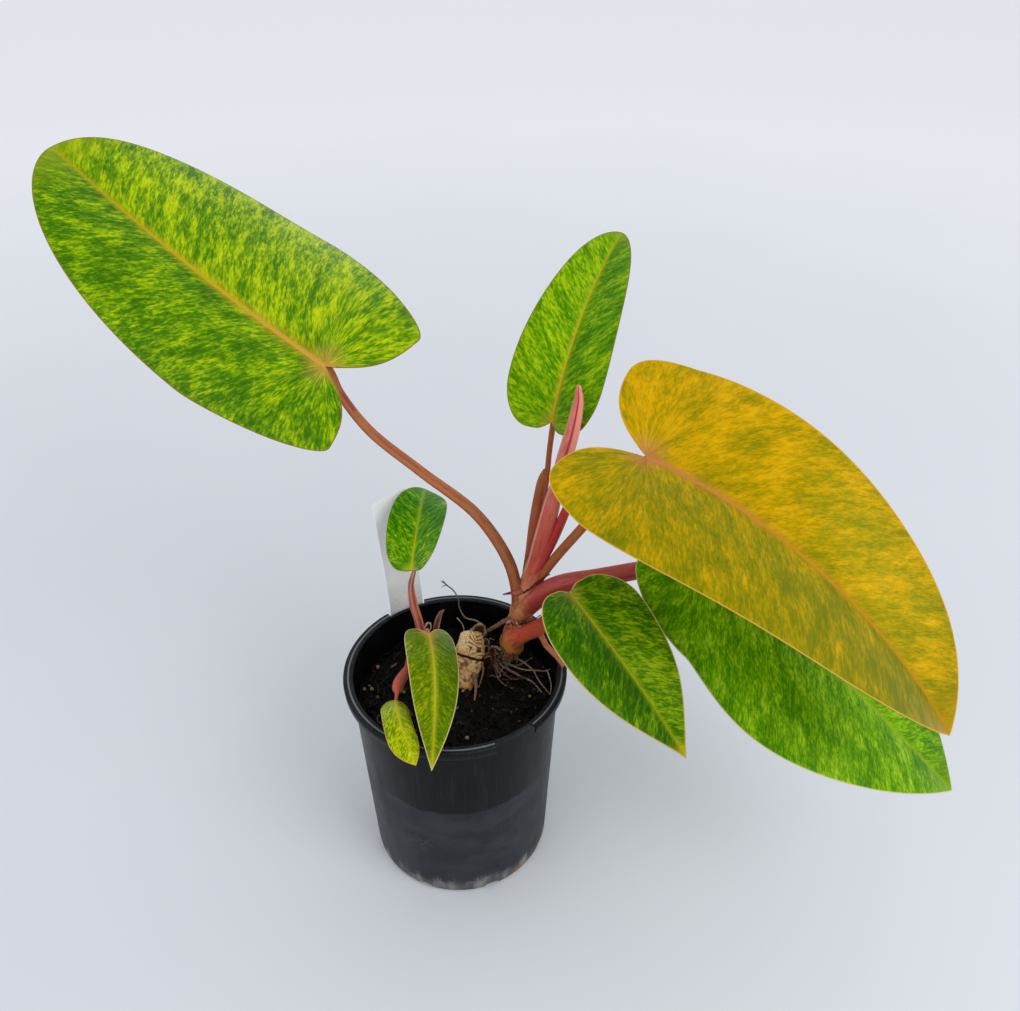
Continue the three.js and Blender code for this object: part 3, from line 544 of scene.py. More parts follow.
leafFinish = {
    "upperLeft": {
        "tones": ((0.2, "#305e00"), (0.36, "#417200"), (0.46, "#5a8600"), (0.56, "#769a00"),
                  (0.68, "#9cb400"), (0.86, "#bcc80a")),
        "rib": "#c0a012", "ribNear": "#cf9440", "join": "#cf8a50", "margin": "#8a6420", "tip": "#8a9a06",
        "under": "#8ea24a", "underRib": "#a0603c", "seed": 3.1, "patch": 0.72, "streak": 0.22, "fleck": 0.16,
        "blotch": 0.13, "lean": -0.055, "drop": -0.03, "veins": 0.45, "joinGlow": 0.4, "slot": "leaf_green",
    },
    "upperMiddle": {
        "tones": ((0.2, "#306400"), (0.37, "#417600"), (0.47, "#568800"), (0.57, "#6e9a02"),
                  (0.7, "#93b008"), (0.86, "#a8bc14")),
        "rib": "#a8a414", "ribNear": "#b8962a", "join": "#b08a38", "margin": "#7e7220", "tip": "#7f9408",
        "under": "#86a048", "underRib": "#9a7a3c", "seed": 8.4, "patch": 0.6, "streak": 0.2, "fleck": 0.16,
        "blotch": 0.12, "lean": 0.04, "drop": 0, "veins": 0.4, "joinGlow": 0.35, "slot": "leaf_green",
    },
    "smallUpright": {
        "tones": ((0.2, "#1e5e00"), (0.38, "#2c7000"), (0.48, "#3e7e00"), (0.6, "#5c9002"),
                  (0.73, "#8ab008"), (0.88, "#a2bc14")),
        "rib": "#93aa0e", "ribNear": "#bfb61c", "join": "#c0b024", "margin": "#6a7620", "tip": "#5c8a0e",
        "under": "#7ea04c", "underRib": "#9aa040", "seed": 5.9, "patch": 0.6, "streak": 0.18, "fleck": 0.24,
        "blotch": 0.14, "lean": 0.02, "drop": -0.16, "veins": 0.2, "joinGlow": 0.6, "slot": "leaf_green",
    },
    "golden": {
        "tones": ((0.2, "#6a6c00"), (0.36, "#7c7600"), (0.47, "#908000"), (0.58, "#a88a00"),
                  (0.71, "#c49602"), (0.88, "#d4a408")),
        "rib": "#bc8420", "ribNear": "#c07a4a", "join": "#c0705a", "margin": "#cf9a44", "tip": "#b08408",
        "under": "#a8984a", "underRib": "#b06a4c", "seed": 12.7, "patch": 0.75, "streak": 0.15, "fleck": 0.12,
        "blotch": 0.09, "lean": 0.085, "drop": -0.16, "veins": 0.3, "joinGlow": 0.45, "slot": "leaf_golden",
    },
    "lowGreen": {
        "tones": ((0.2, "#2e6400"), (0.37, "#3f7800"), (0.48, "#528800"), (0.58, "#659600"),
                  (0.71, "#80ac10"), (0.87, "#96bc22")),
        "rib": "#86a818", "ribNear": "#a39a28", "join": "#a88440", "margin": "#c9bd8a", "tip": "#74940a",
        "under": "#7c9a4a", "underRib": "#a06a44", "seed": 17.3, "patch": 0.72, "streak": 0.2, "fleck": 0.18,
        "blotch": 0.15, "lean": -0.02, "drop": 0, "veins": 0.4, "joinGlow": 0.35, "slot": "leaf_green",
    },
    "front": {
        "tones": ((0.2, "#1e4e00"), (0.37, "#2c5c00"), (0.48, "#3d6c00"), (0.6, "#587e00"),
                  (0.73, "#7a9806"), (0.88, "#8ca614")),
        "rib": "#93a010", "ribNear": "#a8981e", "join": "#b08a3a", "margin": "#c8a46a", "tip": "#bda210",
        "under": "#7a944a", "underRib": "#a0683e", "seed": 21.9, "patch": 0.72, "streak": 0.2, "fleck": 0.2,
        "blotch": 0.12, "lean": 0.08, "drop": 0, "veins": 0.35, "joinGlow": 0.4, "slot": "leaf_green",
    },
    "smallest": {
        "tones": ((0.2, "#4e7000"), (0.36, "#668000"), (0.47, "#809400"), (0.57, "#98a800"),
                  (0.7, "#b0b80c"), (0.86, "#bec41c")),
        "rib": "#b5b41c", "ribNear": "#c3b020", "join": "#c08a3c", "margin": "#c09a44", "tip": "#a8a40e",
        "under": "#98a450", "underRib": "#b08a44", "seed": 27.2, "patch": 0.7, "streak": 0.2, "fleck": 0.34,
        "blotch": 0.1, "lean": 0.0, "drop": 0, "veins": 0.2, "joinGlow": 0.3, "slot": "leaf_lime",
    },
    "drooping": {
        "tones": ((0.2, "#3c5c00"), (0.38, "#4a6a00"), (0.5, "#5a7600"), (0.6, "#6c8200"),
                  (0.74, "#8a9606"), (0.9, "#a0a412")),
        "rib": "#b4ac22", "ribNear": "#c49a34", "join": "#c8862c", "margin": "#ccb87c", "tip": "#b89a08",
        "under": "#8c9a4c", "underRib": "#b07a40", "seed": 33.6, "patch": 0.6, "streak": 0.16, "fleck": 0.26,
        "blotch": 0.12, "lean": -0.05, "drop": 0, "veins": 0.1, "joinGlow": 0.5, "slot": "leaf_lime",
    },
}
leafMarks = {
    "marginWidth": 0.0011,
    "ribWidth": 0.0005,
    "ribGrowth": 0.0046,  # of the length still ahead
    "veinLine": 0.0005,
    "mainGap": 0.021,
    "mainLine": 0.0009,
    "mainReach": 0.042,
    "tipFrom": 0.86,
    "joinReach": 0.017,
    "dropMiddle": 0.4,
    "specular": 0.26,
    "sheen": (0.7, 1.0, 0.12, 1),
}


def leafMaterial(name):
    finish, length = leafFinish[name], leaves[name]["length"]
    share = length / blade["fullLength"]
    made, tree, shader = newMaterial(name + "Leaf", **{"Specular IOR Level": leafMarks["specular"],
                                                       "Specular Tint": leafMarks["sheen"]})
    pattern = useGroup(tree, leafMottle, **{key.title(): finish[key] for key in
                                            ("seed", "patch", "streak", "fleck", "blotch")})
    along, reach, fromRib, fromJoin, below = [
        attribute(tree, key) for key in ("along", "reach", "fromRib", "fromJoin", "below")]

    # the mottling, a little lighter on one half and towards one end
    lean = times(tree, attribute(tree, "side"), finish["lean"])
    drop = scaled(tree, along, finish["drop"], -leafMarks["dropMiddle"] * finish["drop"])
    shade = ramp(tree, plus(tree, pattern["Tone"], plus(tree, lean, drop)), finish["tones"])

    # a soft glow beside the midrib
    growth = leafMarks["ribGrowth"] * length
    ribPlace = maths(tree, "DIVIDE", fromRib, scaled(tree, along, -growth, leafMarks["ribWidth"] + growth))
    shade = blend(tree, fade(tree, ribPlace, 0.8, 5.5, 0.42, 0.0), shade, finish["rib"])

    # thin side veins, and a few main ones that fade away from the midrib and from the join
    veinAt = plus(tree, attribute(tree, "vein"), 1.0)
    veinSpot = maths(tree, "PINGPONG", veinAt, blade["veinGap"] / 2)
    veinFade = times(tree, fade(tree, reach, 0.0, 0.05 * share + 0.004, 0.4, 0.12), finish["veins"])
    veinMask = times(tree, fade(tree, veinSpot, 0.0, leafMarks["veinLine"], 1.0, 0.0), veinFade)
    size = share ** 0.7
    mainLine = leafMarks["mainLine"] * size
    mainSpot = maths(tree, "PINGPONG", veinAt, leafMarks["mainGap"] * size / 2)
    mainFade = times(tree, fade(tree, reach, 0.0, leafMarks["mainReach"] * size, 1.0, 0.0), finish["veins"])
    clear = fade(tree, fromJoin, 0.006 * share, 0.03 * share, 0.25, 1.0)
    mainMask = times(tree, fade(tree, mainSpot, 0.15 * mainLine, mainLine, 1.0, 0.0),
                     times(tree, mainFade, clear))
    shade = blend(tree, maths(tree, "MAXIMUM", veinMask, mainMask), shade, finish["tones"][4][1])

    # the join, the tip and the midrib itself
    nearJoin = fade(tree, fromJoin, 0.002, leafMarks["joinReach"] * share + 0.005, 1.0, 0.0)
    shade = blend(tree, times(tree, nearJoin, finish["joinGlow"]), shade, finish["join"])
    shade = layered(tree, shade, (along, leafMarks["tipFrom"], 1.0, 0.6, finish["tip"]))
    ribMask = times(tree, fade(tree, ribPlace, 0.4, 1.4, 0.92, 0.0), fade(tree, along, 0.3, 0.95, 1.0, 0.4))
    ribColour = blend(tree, fade(tree, along, 0.02, 0.5, 1.0, 0.0), finish["rib"], finish["ribNear"])
    shade = blend(tree, ribMask, shade, ribColour)

    # the paler back, and the margin all round
    pale = blend(tree, 0.62, shade, finish["under"])
    pale = blend(tree, fade(tree, ribPlace, 0.6, 2.0, 0.85, 0.0), pale, finish["underRib"])
    shade = blend(tree, below, shade, pale)
    wide = leafMarks["marginWidth"]
    shade = blend(tree, fade(tree, attribute(tree, "fromEdge"), 0.35 * wide, wide, 0.9, 0.0), shade,
                  finish["margin"])
    feed(tree, shade, shader.inputs["Base Color"])
    gloss = scaled(tree, pattern["Fine"], 0.25, 0.32)
    feed(tree, plus(tree, gloss, times(tree, below, 0.2)), shader.inputs["Roughness"])
    relief = maths(tree, "SUBTRACT", pattern["Fine"], times(tree, veinMask, 0.8))
    feed(tree, bump(tree, relief, 0.0002, 0.6), shader.inputs["Normal"])
    return made


for name, finish in leafFinish.items():
    makeBlade(name, leafMaterial(name), finish["slot"])
print("leaf blades are made")


def smoothRoute(route, radii, step=0.0022):
    # a centripetal curve through the points, as evenly spaced rows of x, y, z and radius
    given = np.column_stack([route, radii]).astype(float)
    padded = np.vstack([2 * given[0] - given[1], given, 2 * given[-1] - given[-2]])
    pieces = []
    for a, b, c, d in zip(padded, padded[1:], padded[2:], padded[3:]):
        before, here, after = [max(np.linalg.norm((q - p)[:3]) ** 0.5, 1e-4)
                               for p, q in ((a, b), (b, c), (c, d))]
        leave = ((b - a) / before - (c - a) / (before + here) + (c - b) / here) * here
        arrive = ((c - b) / here - (d - b) / (here + after) + (d - c) / after) * here
        t = np.linspace(0, 1, 24, endpoint=False)[:, None]
        pieces.append(b + leave * t + (3 * (c - b) - 2 * leave - arrive) * t ** 2
                      + (2 * (b - c) + leave + arrive) * t ** 3)
    fine = np.vstack([*pieces, padded[-2:-1]])
    travelled = np.concatenate([[0], np.cumsum(np.linalg.norm(np.diff(fine[:, :3], axis=0), axis=1))])
    stops = np.linspace(0, travelled[-1], max(4, round(travelled[-1] / step)) + 1)
    return np.stack([np.interp(stops, travelled, fine[:, i]) for i in range(4)], 1)


def roundEnds(line, start=0.8, stop=0.8):
    # rings that close each end in a dome; start and stop say how far the domes stand out
    angles = np.radians([22, 44, 64, 80])
    first, last = line[0], line[-1]
    back, onward = line[0, :3] - line[1, :3], line[-1, :3] - line[-2, :3]
    back, onward = back / np.linalg.norm(back), onward / np.linalg.norm(onward)
    domes = []
    for end, way, swell, turns in ((first, back, start, angles[::-1]), (last, onward, stop, angles)):
        domes.append([np.append(end[:3] + way * end[3] * swell * math.sin(a), end[3] * math.cos(a))
                      for a in turns])
    return np.vstack([domes[0], line, domes[1]])


tubeLayers = ("share", "upward", "front", "right", "mark")


def openTubes():
    bm = bmesh.new()
    bm.verts.layers.float_vector.new("grain")
    bm.verts.layers.int.new("spoke")
    for label in tubeLayers:
        bm.verts.layers.float.new(label)
    return bm


def addTube(bm, line, sides=24, section=None, facing=(0, -1, 0), marks=None):
    # sweeps a ring along the line; section scales the radius by the angle round and the share along, and marks
    # gives every point an offset outwards and a value that the material reads
    grain, spoke = bm.verts.layers.float_vector["grain"], bm.verts.layers.int["spoke"]
    share, upward, front, right, mark = [bm.verts.layers.float[label] for label in tubeLayers]
    centres, radii = line[:, :3], line[:, 3]
    steps = np.linalg.norm(np.diff(centres, axis=0), axis=1)
    travelled = np.concatenate([[0], np.cumsum(steps)])
    ways = np.gradient(centres, axis=0)
    ways /= np.linalg.norm(ways, axis=1, keepdims=True)
    for i in range(1, len(ways)):  # a hollow end's rings run backwards, but keep the way of the rest
        ways[i] *= 1 if ways[i] @ ways[i - 1] > 0 else -1
    side = np.array(facing, float)
    angles = 2 * np.pi * np.arange(sides) / sides
    ring = bmesh.ops.create_circle(bm, segments=sides, radius=1, cap_ends=True)["verts"]
    for k, vert in enumerate(ring):
        vert[spoke] = k
    edges = list({edge for vert in ring for edge in vert.link_edges})
    made = list(ring)
    for i, (centre, radius, way) in enumerate(zip(centres, radii, ways)):
        if i:
            grown = bmesh.ops.extrude_edge_only(bm, edges=edges)["geom"]
            ring = sorted((v for v in grown if isinstance(v, bmesh.types.BMVert)), key=lambda v: v[spoke])
            edges = [e for e in grown if isinstance(e, bmesh.types.BMEdge) and all(v in ring for v in e.verts)]
            made += ring
        side = side - way * (side @ way)
        side = side / np.linalg.norm(side)
        third = np.cross(way, side)
        along = travelled[i] / travelled[-1]
        scale = radius * (section(angles, along) if section else np.ones(sides))
        turned = np.outer(np.cos(angles), side) + np.outer(np.sin(angles), third)
        places = centre + turned * scale[:, None]
        values = np.zeros(sides)
        if marks:
            pushes, values = marks(places, along)
            places = places + turned * pushes[:, None]
        for vert in ring:
            k = vert[spoke]
            vert.co = places[k]
            vert[grain] = (math.cos(angles[k]) * radius, math.sin(angles[k]) * radius, travelled[i])
            vert[share], vert[upward], vert[mark] = along, turned[k][2], values[k]
            vert[front], vert[right] = math.cos(angles[k]), math.sin(angles[k])
    bmesh.ops.edgeloop_fill(bm, edges=edges)
    return made


def finishTubes(name, bm, material, slotName, *nodes, crease=60):
    bmesh.ops.recalc_face_normals(bm, faces=bm.faces)
    return finishPiece(name, bm, material, slotName, *nodes, crease=crease)


# Fine lines along a stalk, with soft patches and specks.
stalkGrain, given, result = newGroup("stalkGrain", {"Seed": 0.0}, ["Lines", "Patch", "Specks"])
shifted = vectorMaths(stalkGrain, "ADD", attribute(stalkGrain, "grain", "Vector"),
                      addNode(stalkGrain, "CombineXYZ", {"X": given["Seed"]}).outputs[0])
for label, scale, detail, roughness in (("Lines", (900, 900, 34), 3.0, 0.6),
                                        ("Patch", (160, 160, 60), 2.0, 0.5),
                                        ("Specks", (560, 560, 190), 2.0, 0.5)):
    drawn = stretch(stalkGrain, shifted, scale)
    feed(stalkGrain, speckle(stalkGrain, drawn, 1.0, detail, roughness), result[label])


def stalkMaterial(name, look):
    # along is the colour from foot to top; upper and lower are painted light and shade: upper is a painted
    # highlight on the sides that face up to the light, lower a painted shade on the sides that face the floor,
    # and turn says from where to where the lower one takes over, and how far.
    # A stripe is an angle round the stalk, 0 at the front and 90 at the right, a half width and a colour.
    made, tree, shader = newMaterial(name, **{"Specular IOR Level": 0.28, "Specular Tint": (1, 0.6, 0.4, 1)})
    pattern = useGroup(tree, stalkGrain, Seed=look["seed"])
    upward, gloss = attribute(tree, "upward"), look.get("gloss", 0.42)
    # upper also tints random patches; by the upward value it is a painted highlight on top, and lower a painted
    # shade underneath
    shade = layered(tree, ramp(tree, attribute(tree, "share"), look["along"]),
                    (pattern["Patch"], 0.42, 0.66, 0.5, look["upper"]),
                    (upward, 0.1, 0.95, 0.42, look["upper"]),
                    (upward, *look.get("turn", (-0.05, -0.9, 0.5)), look["lower"]),
                    (pattern["Lines"], 0.5, 0.72, look.get("lineStrength", 0.45), look["lines"]),
                    (pattern["Specks"], 0.55, 0.7, 0.4, look["lines"]))
    for angle, width, code in look.get("stripes", ()):
        facing = times(tree, attribute(tree, "front"), math.cos(math.radians(angle)))
        toward = scaled(tree, attribute(tree, "right"), math.sin(math.radians(angle)), facing)
        edges = [math.cos(math.radians(width)), math.cos(math.radians(0.35 * width))]
        shade = layered(tree, shade, (toward, *edges, 0.85, code))
    if "mark" in look:
        shade = blend(tree, attribute(tree, "mark"), shade, look["mark"])
    feed(tree, shade, shader.inputs["Base Color"])
    feed(tree, fade(tree, pattern["Lines"], 0.3, 0.7, gloss - 0.06, gloss + 0.12), shader.inputs["Roughness"])
    feed(tree, bump(tree, pattern["Lines"], 0.00025, 0.5), shader.inputs["Normal"])
    return made


def joinedRoute(piece, leaf, sink=0.0012):
    # carries a stalk on under its leaf, so that it runs out into the midrib
    chain = midribChain(leaf)
    base, forward, up = chain["place"][0], chain["forward"][0], chain["up"][0]
    last = piece["radii"][-1]
    reach = 0.02 * leaf["length"] / blade["fullLength"] + 0.006
    route = [*piece["route"][:-1], tuple(base - up * (last + sink)),
             tuple(base + forward * reach * 0.45 - up * (0.8 * last + sink)),
             tuple(base + forward * reach - up * (0.45 * last + sink))]
    return route, [*piece["radii"][:-1], last, 0.68 * last, 0.22 * last]


def channelled(angles, along, depth=0.12, width=0.5):
    # a shallow channel along one side of a stalk
    away = np.angle(np.exp(1j * angles))
    return 1 - depth * np.exp(-(away / width) ** 2) * np.sin(np.pi * np.clip(along * 1.1, 0, 1)) ** 0.5


def rumple(places, frequency, shift=0.0):
    return np.array([noise.noise(Vector(spot) * frequency + Vector((shift, 2 * shift, -shift)))
                     for spot in places])


def blushed(centre, reach, strength):
    # a stalk's foot turns paler round one spot
    def marks(places, along):
        away = np.linalg.norm((places - np.array(centre)) * (1, 1, 0.75), axis=1) / reach
        return np.zeros(len(places)), strength * np.clip(1.25 - 1.25 * away + 0.7 * rumple(places, 260), 0, 1)
    return marks


stalks = {
    "upperLeft": {
        "route": [(0.055, 0.04, 0.252), (0.055, 0.039, 0.27), (0.0475, 0.036, 0.308), (0.022, 0.03, 0.361),
                  (-0.022, 0.013, 0.417), (-0.056, 0, 0.461), (-0.074, -0.008, 0.498),
                  (-0.0815, -0.0115, 0.5215)],
        "radii": [0.0048, 0.0052, 0.0052, 0.0048, 0.0042, 0.0038, 0.0034, 0.0033],
        "along": ((0, "#a45040"), (0.06, "#9c4a38"), (0.14, "#96583a"), (0.5, "#9c5838"), (0.8, "#8e4432"),
                  (1, "#80322a")),
        "upper": "#b07a4c", "lower": "#6f3324", "lines": "#6d3a26", "stripes": ((180, 34, "#b06a42"),),
        "slot": "stalk_brown",
    },
    "upperMiddle": {
        "route": [(0.061, 0.046, 0.266), (0.066, 0.05, 0.286), (0.07, 0.051, 0.305), (0.075, 0.053, 0.331),
                  (0.078, 0.056, 0.36), (0.0805, 0.06, 0.385), (0.082, 0.062, 0.406), (0.083, 0.065, 0.43)],
        "radii": [0.0034, 0.0034, 0.0033, 0.003, 0.0027, 0.0025, 0.0024, 0.0024],
        "along": ((0, "#a8503c"), (0.5, "#a05438"), (0.8, "#94522e"), (1, "#9a5c38")),
        "upper": "#a8663e", "lower": "#84402a", "lines": "#6a3226", "slot": "stalk_brown",
    },
    "smallUpright": {
        "route": [(-0.042, 0.038, 0.19), (-0.034, 0.038, 0.226), (-0.038, 0.036, 0.258),
                  (-0.0385, 0.034, 0.283), (-0.037, 0.032, 0.301)],
        "radii": [0.0036, 0.004, 0.0039, 0.0026, 0.0018],
        "along": ((0, "#a84a40"), (0.5, "#b0574b"), (0.7, "#a0604a"), (0.78, "#6e5644"), (1, "#8a7a62")),
        "upper": "#cf8268", "lower": "#9a4436", "lines": "#86443a",
        "stripes": ((180, 11, "#9c302c"), (-148, 24, "#d08a68"), (138, 22, "#cc8478")), "slot": "new_growth",
    },
    "golden": {
        "route": [(0.062, 0.038, 0.264), (0.076, 0.036, 0.291), (0.0885, 0.03, 0.317), (0.1105, 0.02, 0.3585),
                  (0.135, 0.009, 0.404), (0.153, 0.001, 0.438)],
        "radii": [0.0045, 0.0046, 0.0044, 0.0042, 0.0039, 0.0036],
        "along": ((0, "#b05a3c"), (0.2, "#a65836"), (0.6, "#a05632"), (1, "#a65840")),
        "upper": "#b0703e", "lower": "#7c4028", "lines": "#7c4028", "slot": "stalk_brown",
    },
    "lowGreen": {
        "route": [(0.0575, 0.0376, 0.2365), (0.0608, 0.0362, 0.2485), (0.073, 0.031, 0.27),
                  (0.092, 0.026, 0.2895), (0.126, 0.018, 0.3048), (0.157, 0.014, 0.3155), (0.19, 0.01, 0.328),
                  (0.213, 0.007, 0.337)],
        "radii": [0.0034, 0.0078, 0.0098, 0.009, 0.0083, 0.008, 0.0062, 0.0048],
        "along": ((0, "#c08450"), (0.06, "#b86a48"), (0.14, "#b04c3c"), (0.3, "#b04640"), (0.6, "#ae4440"),
                  (1, "#b04c3e")),
        "upper": "#c46460", "lower": "#8a3028", "lines": "#8a2c2a", "turn": (0.42, 0.12, 0.8),
        "mark": "#d69a68", "blush": ((0.052, 0.031, 0.254), 0.0175, 0.72), "slot": "stalk_red",
    },
    "front": {
        "route": [(0.0495, 0.0372, 0.194), (0.0505, 0.0366, 0.1985), (0.0507, 0.0358, 0.2075),
                  (0.0525, 0.034, 0.218), (0.0612, 0.0302, 0.2292), (0.0718, 0.024, 0.2395),
                  (0.0797, 0.012, 0.258), (0.089, -0.014, 0.297), (0.097, -0.037, 0.333)],
        "radii": [0.0048, 0.0064, 0.0088, 0.0101, 0.0092, 0.008, 0.0066, 0.0049, 0.004],
        "along": ((0, "#ffc26c"), (0.08, "#fda058"), (0.15, "#e87444"), (0.26, "#c85038"), (0.5, "#ae4634"),
                  (1, "#ac5a3e")),
        "upper": "#bc4c3c", "lower": "#c4623c", "lines": "#7c2c1e", "turn": (0.2, -0.3, 0.5),
        "mark": "#f0bc66", "blush": ((0.0435, 0.0305, 0.2035), 0.0155, 0.8), "slot": "stalk_brown",
    },
    "smallest": {
        "route": [(-0.046, 0.03, 0.193), (-0.042, -0.005, 0.219), (-0.0445, -0.021, 0.225),
                  (-0.0466, -0.032, 0.228), (-0.0472, -0.042, 0.2305), (-0.0468, -0.0475, 0.2312),
                  (-0.047, -0.056, 0.232)],
        "radii": [0.0034, 0.0034, 0.0046, 0.0051, 0.0042, 0.0018, 0.0015],
        "along": ((0, "#9c4438"), (0.4, "#b04c3c"), (0.7, "#bc5440"), (0.85, "#a8604a"), (1, "#8c6a4c")),
        "upper": "#c85e48", "lower": "#8c342a", "lines": "#8c3e36",
        "stripes": ((104, 18, "#d8907c"), (-104, 20, "#d08470")), "slot": "new_growth",
    },
    "drooping": {
        "route": [(-0.036, 0.031, 0.192), (-0.03, 0.024, 0.222), (-0.025, 0.013, 0.247),
                  (-0.0215, -0.002, 0.258)],
        "radii": [0.0032, 0.003, 0.0024, 0.002],
        "along": ((0, "#94482f"), (0.6, "#a4543a"), (1, "#b0683c")),
        "upper": "#b87a58", "lower": "#743424", "lines": "#7c3c2a", "slot": "stalk_brown",
    },
}
# the thin wing along one stalk
wing = {
    "route": [(0.063, 0.05, 0.284), (0.0675, 0.051, 0.308), (0.0705, 0.052, 0.333),
              (0.0735, 0.054, 0.36), (0.0765, 0.057, 0.38), (0.078, 0.058, 0.388)],
    "radii": [0.003, 0.0048, 0.0056, 0.005, 0.0038, 0.0014],
}
for count, (name, piece) in enumerate(stalks.items()):
    bm = openTubes()
    route, radii = joinedRoute(piece, leaves[name])
    blush = blushed(*piece["blush"]) if "blush" in piece else None
    addTube(bm, roundEnds(smoothRoute(route, radii)), 28, channelled, facing=(0, 0.3, 1), marks=blush)
    if name == "upperMiddle":
        addTube(bm, roundEnds(smoothRoute(wing["route"], wing["radii"])), 24)
    material = stalkMaterial(name + "Stalk", {**piece, "seed": 0.3 * count})
    finishTubes(name + "Stalk", bm, material, piece["slot"], nodeName("stalk", name))
print("stalks are made")


def makeStem(name, piece, slotName, *nodes, section=None, marks=None, crease=60):
    # one stem, sheath or root from its dictionary, with any thinner branches
    bm = openTubes()
    line = smoothRoute(piece["route"], piece["radii"], piece["step"])
    addTube(bm, roundEnds(line, *piece.get("ends", ())), piece["sides"], section, marks=marks)
    for route, radii in piece.get("branches", ()):
        addTube(bm, roundEnds(smoothRoute(route, radii, 0.001)), 9)
    finishTubes(name, bm, stalkMaterial(name, piece), slotName, *nodes, crease=crease)

sheath = {
    "route": [(0.061, 0.04, 0.262), (0.067, 0.04, 0.283), (0.073, 0.04, 0.307), (0.0765, 0.04, 0.325),
              (0.0855, 0.04, 0.373), (0.0885, 0.04, 0.388)],
    "radii": [0.0078, 0.009, 0.0084, 0.0085, 0.007, 0.0052],
    "step": 0.0012, "ends": (0.3, 0.9), "sides": 56,
    "along": ((0, "#cf9a60"), (0.13, "#d0925e"), (0.24, "#c46a4c"), (0.36, "#b84c40"), (0.6, "#c25548"),
              (1, "#cc6c60")),
    "upper": "#cc705c", "lower": "#a84440", "lines": "#983634", "lineStrength": 0.4, "gloss": 0.4, "seed": 4.1,
    # the pale pink stripe at 44 degrees is a painted highlight
    "stripes": ((44, 12, "#e09a98"), (66, 16, "#a8383a"), (-66, 11, "#d8957a")),
    "overlap": 0.09,
    "overlapAngle": 62,
    "overlapHalf": 34,
}


def sheathSection(angles, along):
    # one edge of the sheath laps over the other
    away = np.degrees(np.angle(np.exp(1j * (angles - math.radians(sheath["overlapAngle"])))))
    half = sheath["overlapHalf"]
    lap = sheath["overlap"] * np.clip(1 - np.abs(away + half) / half, 0, 1) * np.clip(along * 4, 0, 1)
    return 1 + lap - 0.05 * np.exp(-((away - 6) / 9) ** 2) + 0.04 * np.cos(2 * angles)


makeStem("newLeafSheath", sheath, "new_growth", "new_leaf_sheath", section=sheathSection)

roll = {
    "route": [(0.0855, 0.0435, 0.372), (0.0875, 0.0432, 0.382), (0.092, 0.042, 0.405), (0.0978, 0.04, 0.433),
              (0.1015, 0.04, 0.456), (0.1026, 0.04, 0.468), (0.1022, 0.04, 0.4765)],
    "radii": [0.0042, 0.0052, 0.0064, 0.0062, 0.005, 0.0036, 0.0021],
    "step": 0.0012, "ends": (0.3, 1.1), "sides": 72,
    "along": ((0, "#bc4c44"), (0.3, "#cc5a54"), (0.7, "#d06a60"), (1, "#c97260")),
    "upper": "#dd9a88", "lower": "#b4544e", "lines": "#b65450", "lineStrength": 0.3, "gloss": 0.4, "seed": 5.3,
    "stripes": ((32, 40, "#e08c7c"), (-6, 12, "#a83038"), (-74, 14, "#cf8660"), (84, 12, "#c07058")),
    "seamAngle": -6,
}


def rollSection(angles, along):
    # the outer edge of the rolled blade lies over the turns below it
    away = np.degrees(np.angle(np.exp(1j * (angles - math.radians(roll["seamAngle"])))))
    turn = np.where(away < 0, away + 360, away) / 360
    return 0.93 + 0.13 * (1 - turn) - 0.1 * np.exp(-(away / 6) ** 2)


makeStem("newLeafRoll", roll, "new_growth", "new_leaf_roll", section=rollSection)

bract = {
    "route": [(0.071, 0.034, 0.296), (0.0815, 0.034, 0.32), (0.096, 0.035, 0.363), (0.105, 0.036, 0.391)],
    "radii": [0.003, 0.0044, 0.0042, 0.0008],
    "step": 0.0022, "sides": 28,
    "along": ((0, "#b84844"), (0.4, "#b02e30"), (1, "#b83438")),
    "upper": "#bc4444", "lower": "#8c2028", "lines": "#8c1e26", "lineStrength": 0.4, "gloss": 0.4, "seed": 6.7,
    "stripes": ((88, 26, "#8c2028"),),
}
makeStem("redBract", bract, "stalk_red", "red_bract",
         section=lambda angles, along: 1 + 0.14 * np.cos(2 * angles + 1))

spike = {
    "route": [(0.059, 0.034, 0.2752), (0.0545, 0.0328, 0.2748), (0.0507, 0.0325, 0.2745),
              (0.0427, 0.032, 0.273)],
    "radii": [0.003, 0.0023, 0.0016, 0.0005],
    "step": 0.001, "sides": 20,
    "along": ((0, "#cc6a5c"), (0.45, "#d06c62"), (0.6, "#964848"), (0.7, "#2c1c26"), (1, "#140e12")),
    "upper": "#8a4446", "lower": "#6a3034", "lines": "#5c2a30", "lineStrength": 0.3, "seed": 7.9,
}
makeStem("scarSpike", spike, "new_growth", "leaf_scar_spike")

crown = {
    "route": [(0.047, 0.038, 0.193), (0.0495, 0.039, 0.201), (0.052, 0.04, 0.213), (0.0545, 0.04, 0.228),
              (0.057, 0.04, 0.247), (0.059, 0.04, 0.266)],
    "radii": [0.007, 0.011, 0.0115, 0.0095, 0.008, 0.007],
    "step": 0.0009, "ends": (0.6, 0.3), "sides": 72,
    "along": ((0, "#9c6a3c"), (0.16, "#b87a40"), (0.36, "#a4583a"), (0.5, "#b0563e"), (0.62, "#b8764c"),
              (0.85, "#a8583e"), (1, "#9c4c3a")),
    "upper": "#c48a58", "lower": "#843c2c", "lines": "#7c3a28", "mark": "#4a241c", "lineStrength": 0.5,
    "gloss": 0.45, "seed": 9.2,
    "nodes": 6,
    "scarDepth": 0.0006,
    "scarWidth": 0.045,
    "scarSlant": 14,
}


def crownMarks(places, along):
    # the scars of old leaves ring the crown as thin dark lines
    slant = (places[:, 0] - 0.055) * crown["scarSlant"]
    phase = along * crown["nodes"] + 0.16 * rumple(places, 130) + slant
    line = np.exp(-((phase - np.round(phase)) / crown["scarWidth"]) ** 2)
    return rumple(places, 420) * 0.0003 - crown["scarDepth"] * line, np.clip(line * 0.75, 0, 1)


